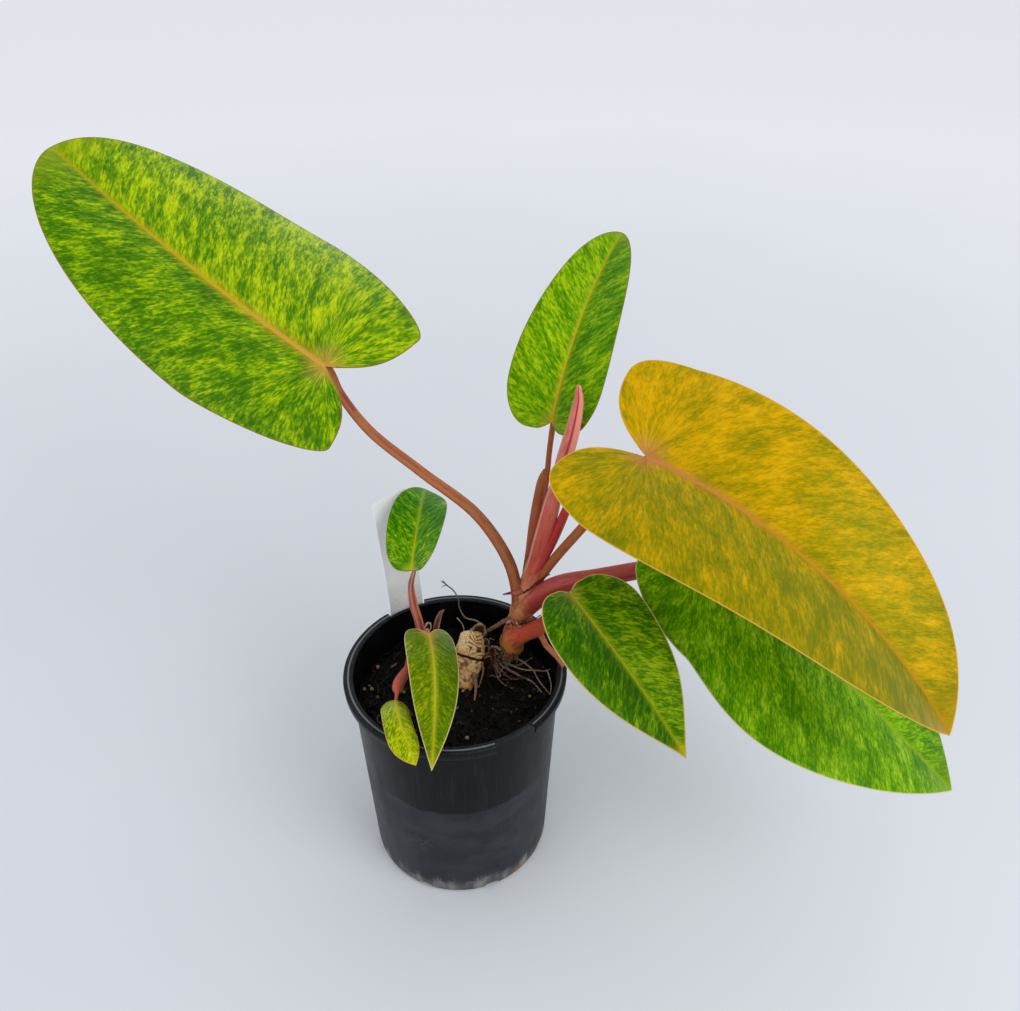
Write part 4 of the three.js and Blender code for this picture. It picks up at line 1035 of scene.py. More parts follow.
def crownSection(angles, along):
    return 1 + 0.05 * np.sin(2 * np.pi * crown["nodes"] * along + angles)


makeStem("crown", crown, "crown", "crown_stem", section=crownSection, marks=crownMarks, crease=75)

# the papery scraps of old sheaths round the crown
scales = {
    "count": 22,
    "centre": (0.0552, 0.04),
    "height": 0.2375,
    "spread": 0.006,
    "out": 0.0094,
    "length": (0.003, 0.0065),
    "radius": (0.0006, 0.0015),
    "along": ((0, "#a8584a"), (0.6, "#c88a7c"), (1, "#8a5a4e")),
    "upper": "#cda294", "lower": "#6e4038", "lines": "#6e4038", "lineStrength": 0.4, "gloss": 0.6, "seed": 2.2,
}
draw = np.random.default_rng(41)
bm = openTubes()
for k in range(scales["count"]):
    angle = math.radians(-150 + 210 * draw.random())
    height = scales["height"] + scales["spread"] * (draw.random() - 0.5)
    out = np.array([math.cos(angle), math.sin(angle), 0])
    foot = np.array([*scales["centre"], height]) + out * scales["out"]
    way = out * draw.uniform(0.15, 0.9)
    way = way + np.array([draw.uniform(-0.4, 0.4), draw.uniform(-0.4, 0.4), draw.uniform(-0.3, 1)])
    way = way / np.linalg.norm(way) * draw.uniform(*scales["length"])
    thick = draw.uniform(*scales["radius"])
    curl = out * draw.uniform(-0.001, 0.0015)
    route = [foot - out * 0.002, foot + way * 0.5 + curl, foot + way]
    addTube(bm, roundEnds(smoothRoute(route, [thick, 0.8 * thick, 0.35 * thick], 0.0012)), 7,
            lambda angles, along: 1 + 0.45 * np.cos(2 * angles))
finishTubes("crownScales", bm, stalkMaterial("crownScales", scales), "crown")

# thin dark tubes along the seams where sheaths clasp the crown: painted shade in those crevices
creases = {
    "torn": [(0.0453, 0.036, 0.2353), (0.0476, 0.0348, 0.2342), (0.0499, 0.0335, 0.2394),
             (0.0522, 0.0312, 0.2369), (0.0544, 0.0308, 0.2398), (0.0571, 0.0295, 0.2381),
             (0.0598, 0.0282, 0.2429), (0.0634, 0.0272, 0.2431), (0.0679, 0.0262, 0.2469),
             (0.0723, 0.0252, 0.2509), (0.0762, 0.0245, 0.2551)],
    "clasping": [(0.0543, 0.0345, 0.2694), (0.0579, 0.0335, 0.272), (0.0623, 0.0312, 0.2767),
                 (0.0668, 0.0304, 0.2812), (0.071, 0.0302, 0.2863), (0.0753, 0.0305, 0.2902),
                 (0.0796, 0.0305, 0.294), (0.0839, 0.031, 0.297)],
    "thickness": 0.0009,
    "along": ((0, "#3c1812"), (0.5, "#541c16"), (1, "#7a2420")),
    "upper": "#7c2c26", "lower": "#2c100e", "lines": "#260e0c", "lineStrength": 0.6, "gloss": 0.6, "seed": 8.8,
}
bm = openTubes()
# these dark tubes are painted shade along the seams
for route in (creases["torn"], creases["clasping"]):
    swell = creases["thickness"] * (0.45 + 0.55 * np.sin(np.pi * np.linspace(0, 1, len(route))))
    addTube(bm, roundEnds(smoothRoute(route, swell, 0.0007)), 10,
            lambda angles, along: 1 + 0.3 * np.sin(2 * angles + 50 * along))
finishTubes("crownCreases", bm, stalkMaterial("crownCreases", creases), "crown")

offshoot = {
    "route": [(-0.042, 0.04, 0.176), (-0.042, 0.04, 0.19), (-0.038, 0.038, 0.2)],
    "radii": [0.005, 0.0055, 0.004],
    "step": 0.0012, "sides": 32,
    "along": ((0, "#7c4a34"), (0.6, "#9c5440"), (1, "#a4584a")),
    "upper": "#b07058", "lower": "#6c3228", "lines": "#5e3024", "seed": 3.4,
}
makeStem("offshoot", offshoot, "crown", "offshoot_stem",
         section=lambda angles, along: 1 + 0.06 * np.sin(14 * along + angles))

curl = {
    "route": [(-0.0255, 0.04, 0.196), (-0.0205, 0.041, 0.214), (-0.0185, 0.041, 0.23),
              (-0.0145, 0.041, 0.243), (-0.0112, 0.041, 0.2465)],
    "radii": [0.0016, 0.003, 0.0026, 0.0017, 0.0006],
    "step": 0.001, "sides": 36,
    "along": ((0, "#3c241c"), (0.4, "#6a3a2c"), (0.75, "#6e4434"), (1, "#8a6a50")),
    "upper": "#7c5440", "lower": "#3c241e", "lines": "#3c241e", "lineStrength": 0.6, "gloss": 0.6, "seed": 1.3,
    # the pale stripe at 68 degrees is a painted highlight
    "stripes": ((68, 16, "#c0a488"), (-60, 14, "#a07e62")),
}


def curlSection(angles, along):
    # a dry sheath, rolled in on itself and pinched
    return (0.8 + 0.35 * np.cos(2 * angles + 5 * along)
            - 0.4 * np.exp(-(np.sin((angles - 0.4) / 2) / 0.22) ** 2)
            + 0.1 * np.sin(5 * angles + 9 * along))


makeStem("driedSheath", curl, "dry_root", "dried_sheath", section=curlSection)

thread = {
    "route": [(0.024, 0.036, 0.233), (0.0175, 0.038, 0.2365), (0.0085, 0.04, 0.238), (0.0033, 0.04, 0.249),
              (0.002, 0.04, 0.262), (-0.0023, 0.04, 0.2715), (-0.0074, 0.04, 0.277), (-0.0108, 0.04, 0.282)],
    "radii": [0.0009, 0.0008, 0.0007, 0.0006, 0.0006, 0.0006, 0.0006, 0.0005],
    "step": 0.0012, "sides": 12,
    "branches": [
        ([(-0.0074, 0.04, 0.277), (-0.0098, 0.0388, 0.2775),
          (-0.0121, 0.038, 0.2762)], [0.0006, 0.00045, 0.0003]),
        ([(-0.0088, 0.04, 0.279), (-0.0112, 0.041, 0.2794),
          (-0.0128, 0.0414, 0.2808)], [0.0005, 0.0004, 0.0003]),
        ([(0.0002, 0.0402, 0.209), (0.0035, 0.0395, 0.2035), (0.007, 0.0385, 0.197), (0.009, 0.037, 0.188)],
         [0.0005, 0.0007, 0.0006, 0.0006]),
    ],
    "along": ((0, "#6a4c3c"), (0.3, "#6c625c"), (0.7, "#5c5450"), (1, "#2c2826")),
    "upper": "#8a827c", "lower": "#3c3430", "lines": "#3c302c", "lineStrength": 0.5, "gloss": 0.7, "seed": 0.7,
}
makeStem("dryThread", thread, "dry_root", "dry_thread")

aerial = {
    "route": [(0.074, 0.024, 0.239), (0.0815, 0.013, 0.229), (0.088, 0.006, 0.226), (0.0935, 0.002, 0.221),
              (0.096, -0.001, 0.2174)],
    "radii": [0.0031, 0.0026, 0.0024, 0.0022, 0.0016],
    "step": 0.0012, "sides": 22,
    "along": ((0, "#9c5038"), (0.4, "#b4643c"), (1, "#c0764a")),
    "upper": "#cc8660", "lower": "#8a4430", "lines": "#8a4630", "seed": 5.1,
}
makeStem("aerialRoot", aerial, "stalk_brown", "aerial_root",
         section=lambda angles, along: 1 + 0.05 * np.sin(30 * along + angles) + 0.04 * np.cos(3 * angles))
print("spear, crown and small growths are made")

oldStem = {
    "route": [(0.0055, -0.001, 0.174), (0.0074, 0.002, 0.186), (0.0117, 0.0115, 0.2045),
              (0.0138, 0.0215, 0.2205), (0.0138, 0.0275, 0.2288)],
    "radii": [0.0062, 0.008, 0.011, 0.0126, 0.0108],
    "ridge": 0.0006,
    "swirlGap": 0.0029,
    "swirlCentre": (0.0235, 0.031, 0.2335),
    "swirlWaver": (0.0085, 0.0062, 0.0013),
    "furrowWidth": 0.17,
    "bandAt": (0.012, 0.2195),  # where the root band crosses the front, across and up
    "bandSlope": 0.3,
    "pitDepth": 0.0007,
    "lump": 0.002,
}
# The hollow ends of broken shoots: the middle of the opening, the way it looks and its size.
knots = [
    ((0.0212, 0.0255, 0.2365), (0.12, -0.55, 0.83), 0.0062),
    ((0.0276, 0.0235, 0.2222), (0.5, -0.7, 0.5), 0.0036),
    ((0.0335, 0.0225, 0.213), (0.3, -0.85, 0.4), 0.0032),
    ((0.0378, 0.0222, 0.2055), (0.45, -0.8, 0.3), 0.0034),
    ((0.0292, 0.0165, 0.2085), (0.1, -0.85, 0.5), 0.0028),
    ((0.0262, 0.0305, 0.2262), (0.7, -0.3, 0.65), 0.0034),
]


def corkMarks(places, along):
    # curving growth lines above the root band, and pitted bark below it
    wide, bend, fold, rough = [rumple(places, frequency, 3.1) for frequency in (62, 95, 260, 640)]
    x, height = places[:, 0], places[:, 2]
    bandX, bandHeight = oldStem["bandAt"]
    above = np.clip((height - bandHeight + oldStem["bandSlope"] * (x - bandX)) / 0.003 + 0.5, 0, 1)
    reach = np.linalg.norm(places - np.array(oldStem["swirlCentre"]), axis=1)
    waver = sum(share * wave for share, wave in zip(oldStem["swirlWaver"], (bend, wide, fold)))
    phase = (reach + waver) / oldStem["swirlGap"]
    furrow = np.exp(-((phase - np.round(phase)) / oldStem["furrowWidth"]) ** 2) * above
    furrow = furrow * np.clip((x - 0.0065) / 0.006, 0.12, 1)
    pits = np.clip((-fold - 0.02) * 3.2, 0, 1) * (1 - above)
    push = (oldStem["lump"] * wide + rough * 0.0003 + fold * (0.0009 - 0.0006 * above)
            - oldStem["ridge"] * furrow - oldStem["pitDepth"] * pits)
    return push, np.clip(furrow + pits * 0.7, 0, 1)


def scarSection(angles, along):
    return 1 + 0.03 * np.sin(14 * along + 1.2 * np.sin(angles)) + 0.04 * np.sin(3 * angles + 7 * along)


corkMaterial, tree, shader = newMaterial("corkyStem", **{"Specular IOR Level": 0.2})
position = objectPlace(tree)
grainMap = speckle(tree, position, 260, 4.0, 0.65)
mapped = speckle(tree, position, 60, 3.0)
shade = ramp(tree, mapped, ((0.3, "#c4843e"), (0.46, "#e6ae66"), (0.64, "#fbd69a")))
height = heightOf(tree, position)
shade = layered(tree, shade, (grainMap, 0.42, 0.66, 0.7, "#fbe2b4"),
                (speckle(tree, position, 520, 2.0), 0.54, 0.7, 0.75, "#7c5230"),
                (height, 0.221, 0.206, 0.35, "#dc9a54"),
                (plus(tree, height, times(tree, mapped, 0.02)), 0.201, 0.19, 0.8, "#54361c"))
shade = blend(tree, attribute(tree, "mark"), shade, "#3c200c")
feed(tree, shade, shader.inputs["Base Color"])
feed(tree, fade(tree, grainMap, 0.3, 0.7, 0.6, 0.85), shader.inputs["Roughness"])
feed(tree, bump(tree, grainMap, 0.0006, 0.7), shader.inputs["Normal"])

bm = openTubes()
line = roundEnds(smoothRoute(oldStem["route"], oldStem["radii"], 0.0005), 0.2, 0.35)
addTube(bm, line, 120, scarSection, marks=corkMarks)
finishTubes("oldStem", bm, corkMaterial, "old_stem", "old_stem", crease=80)

knotMaterial, tree, shader = newMaterial("brokenKnot", **{"Specular IOR Level": 0.2})
position = objectPlace(tree)
shade = ramp(tree, speckle(tree, position, 230, 4.0, 0.6),
             ((0.3, "#2a1a12"), (0.42, "#6a4a34"), (0.52, "#a07e5c"), (0.66, "#ccb088")))
shade = blend(tree, attribute(tree, "mark"), shade, "#1a110c")
feed(tree, shade, shader.inputs["Base Color"])
feed(tree, fade(tree, speckle(tree, position, 300), 0.3, 0.7, 0.75, 0.9), shader.inputs["Roughness"])
feed(tree, bump(tree, speckle(tree, position, 420, 3.0), 0.0008, 0.8), shader.inputs["Normal"])


def knotMarks(places, along):
    lumps, fine = rumple(places, 250), rumple(places, 700)
    hollow = 1.0 if along > 0.86 else 0.0
    return lumps * 0.002 + fine * 0.0007, np.clip(np.maximum(-lumps * 1.3, hollow * 0.94), 0, 1)


bm = openTubes()
for centre, way, size in knots:
    centre, way = np.array(centre), np.array(way) / np.linalg.norm(way)
    route = [centre - way * 1.7 * size, centre - way * 0.8 * size, centre]
    line = smoothRoute(route, [0.9 * size, 1.04 * size, 0.86 * size], 0.0006)
    addTube(bm, roundEnds(line, 0.4, -0.8), 52, marks=knotMarks)
finishTubes("brokenKnot", bm, knotMaterial, "old_stem", crease=80)
print("old stem is made")

soil = {
    "topRadius": 0.0888,
    "bottomRadius": 0.081,
    "level": 0.185,
    "shoulder": 0.182,
    "floor": 0.0064,
    "cell": 0.0009,
    "spread": 0.0865,  # how far from the middle loose pieces lie
    "wall": 0.087,
    "crumbs": 1500,
    "chips": 150,
    "fibres": 64,
}


def soilHeight(x, y):
    # the same ground as the CAD soil, in metres
    x, y = np.asarray(x) * 1000, np.asarray(y) * 1000
    ground = (185 + 2.2 * np.sin(x / 17 + 1) * np.cos(y / 21) + 1.4 * np.sin(x / 8 - y / 11)
              + np.cos(y / 7 + x / 13))
    return (ground - 3 * (np.hypot(x, y) / 93) ** 4) / 1000


# One ground colour for everything that lies loose in the pot.
earth, given, result = newGroup("earth", {"Scale": 300.0}, ["Tone", "Height"])
position = objectPlace(earth)
feed(earth, speckle(earth, position, given["Scale"], 4.0, 0.6), result["Tone"])
feed(earth, speckle(earth, stretch(earth, position, (700, 700, 700)), 1.0, 3.0, 0.6), result["Height"])


def earthMaterial(name, stops, scale, layer=None, depth=0.0006, gloss=0.6):
    made, tree, shader = newMaterial(name, **{"Specular IOR Level": 0.14})
    pattern = useGroup(tree, earth, Scale=scale)
    shade = ramp(tree, attribute(tree, layer) if layer else pattern["Tone"], stops)
    shade = layered(tree, shade, (pattern["Tone"], 0.55, 0.38, 0.5, "#0c0b0a"))
    feed(tree, shade, shader.inputs["Base Color"])
    feed(tree, fade(tree, pattern["Height"], 0.3, 0.7, gloss - 0.12, gloss + 0.2), shader.inputs["Roughness"])
    feed(tree, bump(tree, pattern["Height"], depth, 0.8), shader.inputs["Normal"])
    return made


bm = bmesh.new()
rings = round(soil["topRadius"] / soil["cell"])
spokes = [bm.verts.new((soil["topRadius"] * i / rings, 0, soil["level"])) for i in range(rings + 1)]
for share in (0.02, 0.05, 0.15, 0.5, 1):
    wide = soil["topRadius"] + (soil["bottomRadius"] - soil["topRadius"]) * share
    spokes.append(bm.verts.new((wide, 0, soil["shoulder"] + (soil["floor"] - soil["shoulder"]) * share)))
spokes.append(bm.verts.new((0, 0, soil["floor"])))
edges = [bm.edges.new(pair) for pair in zip(spokes, spokes[1:])]
bmesh.ops.spin(bm, geom=spokes + edges, cent=(0, 0, 0), axis=(0, 0, 1), angle=math.tau, steps=260,
               use_merge=True)
bmesh.ops.remove_doubles(bm, verts=bm.verts, dist=0.00001)
for vert in bm.verts:
    if vert.co.z > soil["level"] - 0.0001:
        spot = vert.co.copy()
        edge = min(1, max(0, (soil["topRadius"] - spot.xy.length) / 0.003))
        lumps = (noise.noise(spot * 95) * 0.0022 + noise.noise(spot * 240) * 0.0016
                 + abs(noise.noise(spot * 520)) * 0.0013 + noise.noise(spot * 900) * 0.0005)
        vert.co.z = float(soilHeight(spot.x, spot.y)) + lumps * edge - 0.0007
bmesh.ops.recalc_face_normals(bm, faces=bm.faces)
soilTones = ((0.3, "#040403"), (0.52, "#0b0907"), (0.66, "#1a140f"), (0.77, "#3a2c20"))
finishPiece("soilGround", bm, earthMaterial("soilGround", soilTones, 420), "soil", "soil", crease=180)

draw = np.random.default_rng(77)


def scatter():
    angle, reach = draw.uniform(0, math.tau), soil["spread"] * math.sqrt(draw.random())
    x, y = reach * math.cos(angle), reach * math.sin(angle)
    return np.array([x, y, float(soilHeight(x, y))])


def lump(bm, layer, spot, size, tone, rough=0.22, level=1):
    # an uneven grain, turned at random
    turn = Matrix.Rotation(draw.uniform(0, math.tau), 4, Vector(draw.normal(size=3)).normalized())
    if size[0] > 3 * size[2]:  # flat chips lie down
        turn = (Matrix.Rotation(draw.uniform(0, math.tau), 4, "Z")
                @ Matrix.Rotation(draw.uniform(-0.5, 0.5), 4, "X"))
    laid = Matrix.Translation(Vector(spot)) @ turn @ Matrix.Diagonal((*size, 1))
    made = bmesh.ops.create_icosphere(bm, subdivisions=level, radius=1, matrix=Matrix.Identity(4))["verts"]
    for vert in made:
        vert.co *= 1 + draw.uniform(-rough, rough)
        vert.co = laid @ vert.co
        vert[layer] = tone


bm = bmesh.new()
tones = bm.verts.layers.float.new("tone")
for k in range(soil["crumbs"]):
    grain = draw.uniform(0.0005, 0.0017) * (1.8 if draw.random() < 0.06 else 1)
    spot = scatter() + (0, 0, draw.uniform(0, 0.0012))
    lump(bm, tones, spot, grain * draw.uniform(0.7, 1.2, 3), draw.random() ** 2.2)
for k in range(soil["chips"]):
    long = draw.uniform(0.0018, 0.0052)
    size = (long, long * draw.uniform(0.25, 0.5), long * draw.uniform(0.12, 0.3))
    lump(bm, tones, scatter() + (0, 0, 0.0012), size, draw.random() ** 1.3)
crumbTones = ((0, "#060505"), (0.4, "#0f0c0a"), (0.75, "#221914"), (0.94, "#4a3828"), (1, "#86705a"))
finishPiece("soilCrumbs", bm, earthMaterial("soilCrumbs", crumbTones, 500, "tone"), "soil", crease=35)

prills = {
    "radius": 0.0019,
    "seen": [(0.0116, -0.056, 0.2), (-0.0772, 0.0002, 0.35), (-0.0751, 0.03, 0.95), (-0.0481, -0.0002, 0.6),
             (0.0499, 0.019, 0.85)],
    "fullSize": 4,  # the first ones of those, and the rest are smaller
    "more": 5,
}
bm = bmesh.new()
tones = bm.verts.layers.float.new("tone")
spots = prills["seen"] + [(*scatter()[:2], draw.random()) for k in range(prills["more"])]
for k, (x, y, tone) in enumerate(spots):
    wide = prills["radius"] * (1 if k < prills["fullSize"] else draw.uniform(0.5, 0.9))
    lump(bm, tones, (x, y, float(soilHeight(x, y)) + 0.8 * wide), (wide, wide, 0.9 * wide), tone, 0.02, 3)
prillTones = ((0, "#a8985a"), (0.35, "#96905a"), (0.6, "#6e7450"), (0.8, "#9a806a"), (1, "#b98468"))
finishPiece("feedPrills", bm, earthMaterial("feedPrills", prillTones, 900, "tone", 0.0002, 0.45), "soil",
            crease=180)


def hair(start, way, length, thick, sag=0.4, wander=0.5, step=0.0016):
    # a thin root that wanders along the ground or through the air
    spot, way = np.array(start, float), np.array(way, float)
    points = [spot]
    for k in range(max(3, round(length / step / 2))):
        way = way + draw.normal(size=3) * wander * (1, 1, 0.5) - (0, 0, sag * 0.1)
        way = way / np.linalg.norm(way)
        spot = spot + way * step * 2
        low = float(soilHeight(spot[0], spot[1])) + thick
        if spot[2] < low:
            spot, way = np.array([spot[0], spot[1], low]), way * (1, 1, 0.2)
        if np.hypot(spot[0], spot[1]) > soil["wall"]:
            break
        points.append(spot)
    taper = np.linspace(1, 0.55, len(points)) * thick
    return roundEnds(smoothRoute(points, taper, step)) if len(points) > 2 else None


bm = openTubes()
toneLayer = bm.verts.layers.float.new("tone")
for k in range(soil["fibres"]):
    turn = draw.uniform(0, math.tau)
    line = hair(scatter() + (0, 0, 0.0012), (math.cos(turn), math.sin(turn), 0.15), draw.uniform(0.008, 0.03),
                draw.uniform(0.00018, 0.00042), wander=0.35)
    tone = draw.random()
    if line is not None:
        for vert in addTube(bm, line, 5):
            vert[toneLayer] = tone
fibreTones = ((0, "#1a120d"), (0.6, "#36271b"), (0.88, "#66523e"), (1, "#a8967c"))
finishTubes("soilFibres", bm, earthMaterial("soilFibres", fibreTones, 600, "tone"), "soil")
print("soil is made")

roots = {
    "band": [(0.0002, 0.0195, 0.2185), (-0.0006, 0.0162, 0.2192), (0.0012, 0.0124, 0.22),
             (0.0056, 0.0088, 0.2208), (0.0103, 0.0072, 0.2207), (0.0139, 0.0067, 0.2196),
             (0.0174, 0.0069, 0.218), (0.0212, 0.0088, 0.2152), (0.0252, 0.0125, 0.211),
             (0.03, 0.0185, 0.2045)],
    "knotRoot": [(0.0505, 0.037, 0.2405), (0.0438, 0.036, 0.2378), (0.0371, 0.035, 0.2332),
                 (0.0288, 0.034, 0.2278)],
    "pale": [
        [(0.0452, 0.0291, 0.192), (0.0527, 0.0265, 0.1895), (0.063, 0.0241, 0.1875), (0.0714, 0.0234, 0.1875),
         (0.0816, 0.0233, 0.187), (0.0885, 0.0268, 0.1868)],
        [(0.0505, 0.038, 0.1905), (0.0571, 0.0372, 0.1885), (0.0637, 0.0325, 0.187), (0.0711, 0.0219, 0.1878),
         (0.0748, 0.0119, 0.1878), (0.0812, 0.0008, 0.1866), (0.0855, -0.0055, 0.1858)],
        [(0.0835, 0.0235, 0.188), (0.0858, 0.0142, 0.1872), (0.0868, 0.0048, 0.1862),
         (0.086, -0.0034, 0.186)],
    ],
    "side": [(0.0232, 0.0105, 0.2118), (0.0246, 0.0068, 0.205), (0.0232, 0.0024, 0.1985),
             (0.0205, -0.003, 0.1928)],
    "stub": [(0.0158, 0.0036, 0.2042), (0.0182, -0.0035, 0.1974), (0.0172, -0.0152, 0.1888)],
    "runners": [  # a tone, and the way over the ground
        (0.3, [(0.036, 0.028), (0.052, 0.024), (0.07, 0.03), (0.084, 0.026)]),
        (0.75, [(0.038, 0.026), (0.058, 0.02), (0.07, 0.01), (0.078, 0)]),
        (0.45, [(0.036, 0.024), (0.05, 0.016), (0.06, 0.016), (0.068, 0.02)]),
        (0.6, [(0.034, 0.024), (0.04, 0.012), (0.052, 0.004)]),
        (0.15, [(0.032, 0.026), (0.028, 0.012), (0.034, 0)]),
        (0.8, [(0.038, 0.03), (0.056, 0.034), (0.07, 0.044)]),
        (0.35, [(0.034, 0.03), (0.036, 0.046), (0.048, 0.06)]),
    ],
    "tangle": 30,
    "heart": (0.0355, 0.0275, 0.2),
    "brokenEnds": 8,  # they stand off the crown's foot
    "crownFoot": (0.0485, 0.0385, 0.2),
    "footRadius": 0.0075,
}
bm = openTubes()
toneLayer = bm.verts.layers.float.new("tone")


def addRoot(line, tone, sides=9, section=None):
    if line is not None:
        for vert in addTube(bm, line, sides, section):
            vert[toneLayer] = tone


def gnarl(angles, along):
    return 1 + 0.1 * np.sin(3 * angles + 40 * along) + 0.08 * np.sin(90 * along)


def routed(points, thick, thin):
    return roundEnds(smoothRoute(points, np.linspace(thick, thin, len(points)), 0.0009))


addRoot(routed(roots["band"], 0.001, 0.0012), 0.12, 12, gnarl)
addRoot(routed([(x, y + 0.0008, z - 0.0022) for x, y, z in roots["band"]], 0.0005, 0.0006), 0.3, 8)
addRoot(routed(roots["knotRoot"], 0.0023, 0.0017), 0.52, 16, gnarl)
for points in roots["pale"]:
    addRoot(routed(points, 0.00085, 0.0005), 0.86, 8, gnarl)
addRoot(routed(roots["side"], 0.0011, 0.0006), 0.62, 10, gnarl)
addRoot(routed(roots["stub"], 0.0021, 0.0009), 0.66, 14, gnarl)
for tone, points in roots["runners"]:
    lifts = [0.007] + [0.0012] * (len(points) - 2) + [0.0004]
    laid = [(x, y, float(soilHeight(x, y)) + lift) for (x, y), lift in zip(points, lifts)]
    addRoot(routed(laid, 0.0013, 0.0005), tone, 9, gnarl)
for k in range(roots["tangle"]):
    turn, rise = draw.uniform(0, math.tau), draw.uniform(-0.6, 0.8)
    start = np.array(roots["heart"]) + np.array([0.006 * math.cos(turn), 0.005 * math.sin(turn), 0.009 * rise])
    way = (math.cos(turn + 1.6), math.sin(turn + 1.6), draw.uniform(-0.5, 0.4))
    addRoot(hair(start, way, draw.uniform(0.014, 0.034), draw.uniform(0.0004, 0.00125), 1.2, 0.75, 0.0012),
            draw.random() ** 1.2, 8)
for k in range(roots["brokenEnds"]):
    turn = draw.uniform(-2.6, 0.4)
    out = np.array([math.cos(turn), math.sin(turn), 0])
    start = np.array(roots["crownFoot"]) + out * roots["footRadius"] + (0, 0, draw.uniform(-0.006, 0.006))
    addRoot(hair(start, out - (0, 0, 0.5), draw.uniform(0.008, 0.02), draw.uniform(0.0004, 0.0009), 1.5, 0.5,
                 0.0012), draw.random(), 8)
rootTones = ((0, "#1a100b"), (0.25, "#402618"), (0.5, "#7c5240"), (0.68, "#a07864"), (0.86, "#b09c8c"),
             (1, "#c8baa6"))
finishTubes("roots", bm, earthMaterial("roots", rootTones, 380, "tone", 0.0004, 0.62), "dry_root", "roots")

scrap = {
    "thread": [(-0.0003, 0.05, 0.2289), (0.0018, 0.0498, 0.2262), (0.005, 0.05, 0.2189),
               (0.006, 0.0492, 0.2105), (0.0055, 0.048, 0.2), (0.005, 0.046, 0.188)],
    "curl": [(-0.0334, 0.038, 0.2199), (-0.031, 0.038, 0.2245), (-0.0289, 0.038, 0.2296),
             (-0.0262, 0.038, 0.2338), (-0.0242, 0.038, 0.233), (-0.0237, 0.038, 0.2286),
             (-0.0251, 0.038, 0.2236)],
    "inside": [(-0.0295, 0.0395, 0.216), (-0.0278, 0.0395, 0.2222), (-0.026, 0.0395, 0.2284)],
}
bm = openTubes()
toneLayer = bm.verts.layers.float.new("tone")
addRoot(routed(scrap["thread"], 0.0005, 0.0005), 1.0, 8)
addRoot(routed(scrap["curl"], 0.0013, 0.0005), 0.95, 10, gnarl)
addRoot(routed(scrap["inside"], 0.0022, 0.0016), 0.0, 12)
scrapTones = ((0, "#1c1210"), (0.8, "#a8887c"), (1, "#d0b8ae"))
finishTubes("dryScraps", bm, earthMaterial("dryScraps", scrapTones, 500, "tone"), "dry_root")
print("roots are made")

pot = {  # the profile and the notches are in millimetres
    "profile": [(0, 0), (58, 0), (60, 3), (76, 3), (78, 0), (79, 0), (82.8, 1.6), (84.22, 5), (84.61, 14),
                (92.65, 199), (93, 207), (93, 212.4), (98, 212.4), (98, 207), (99.6, 207), (100, 213.8),
                (98.8, 215), (92, 215), (91, 214), (90.65, 199), (82.61, 14), (82.26, 6), (0, 6)],
    "spokes": 192,
    "bevel": 0.00035,
    "notches": (122, -56),
    "notchHalf": 11.5,
    "notchRings": (93.6, 108),
    "notchHeights": (201, 220),
    "drains": 8,
    "drainSize": (0.026, 0.015, 0.014),
    "drainCorner": 0.003,
    "footRadius": 0.084,
    "crease": 35,
}


def carve(piece, cutters):
    # cuts the pieces in turn, keeps the result as the mesh and drops the cutters
    for cutter in cutters:
        made = piece.modifiers.new(cutter.name, "BOOLEAN")
        made.operation, made.solver, made.object = "DIFFERENCE", "EXACT", cutter
    bpy.context.view_layer.update()
    cut = bpy.data.meshes.new_from_object(piece.evaluated_get(bpy.context.evaluated_depsgraph_get()))
    piece.modifiers.clear()
    piece.data = cut
    for cutter in cutters:
        bpy.data.objects.remove(cutter)


def cutterFrom(name, bm):
    bmesh.ops.recalc_face_normals(bm, faces=bm.faces)
    return linkMesh(name, bm)


bm = bmesh.new()
points = [bm.verts.new((x / 1000, 0, z / 1000)) for x, z in pot["profile"]]
edges = [bm.edges.new(pair) for pair in zip(points, points[1:])]
bmesh.ops.spin(bm, geom=points + edges, cent=(0, 0, 0), axis=(0, 0, 1), angle=math.tau, steps=pot["spokes"],
               use_merge=True)
bmesh.ops.remove_doubles(bm, verts=bm.verts, dist=0.000001)
bmesh.ops.recalc_face_normals(bm, faces=bm.faces)
corners = [edge for edge in bm.edges if edge.is_manifold and edge.calc_face_angle(0) > math.radians(25)
           and abs(edge.verts[0].co.z - edge.verts[1].co.z) < 0.00001 and edge.verts[0].co.xy.length > 0.05]
bmesh.ops.bevel(bm, geom=corners, offset=pot["bevel"], offset_type="OFFSET", segments=2, profile=0.5,
                affect="EDGES", material=-1, clamp_overlap=True)

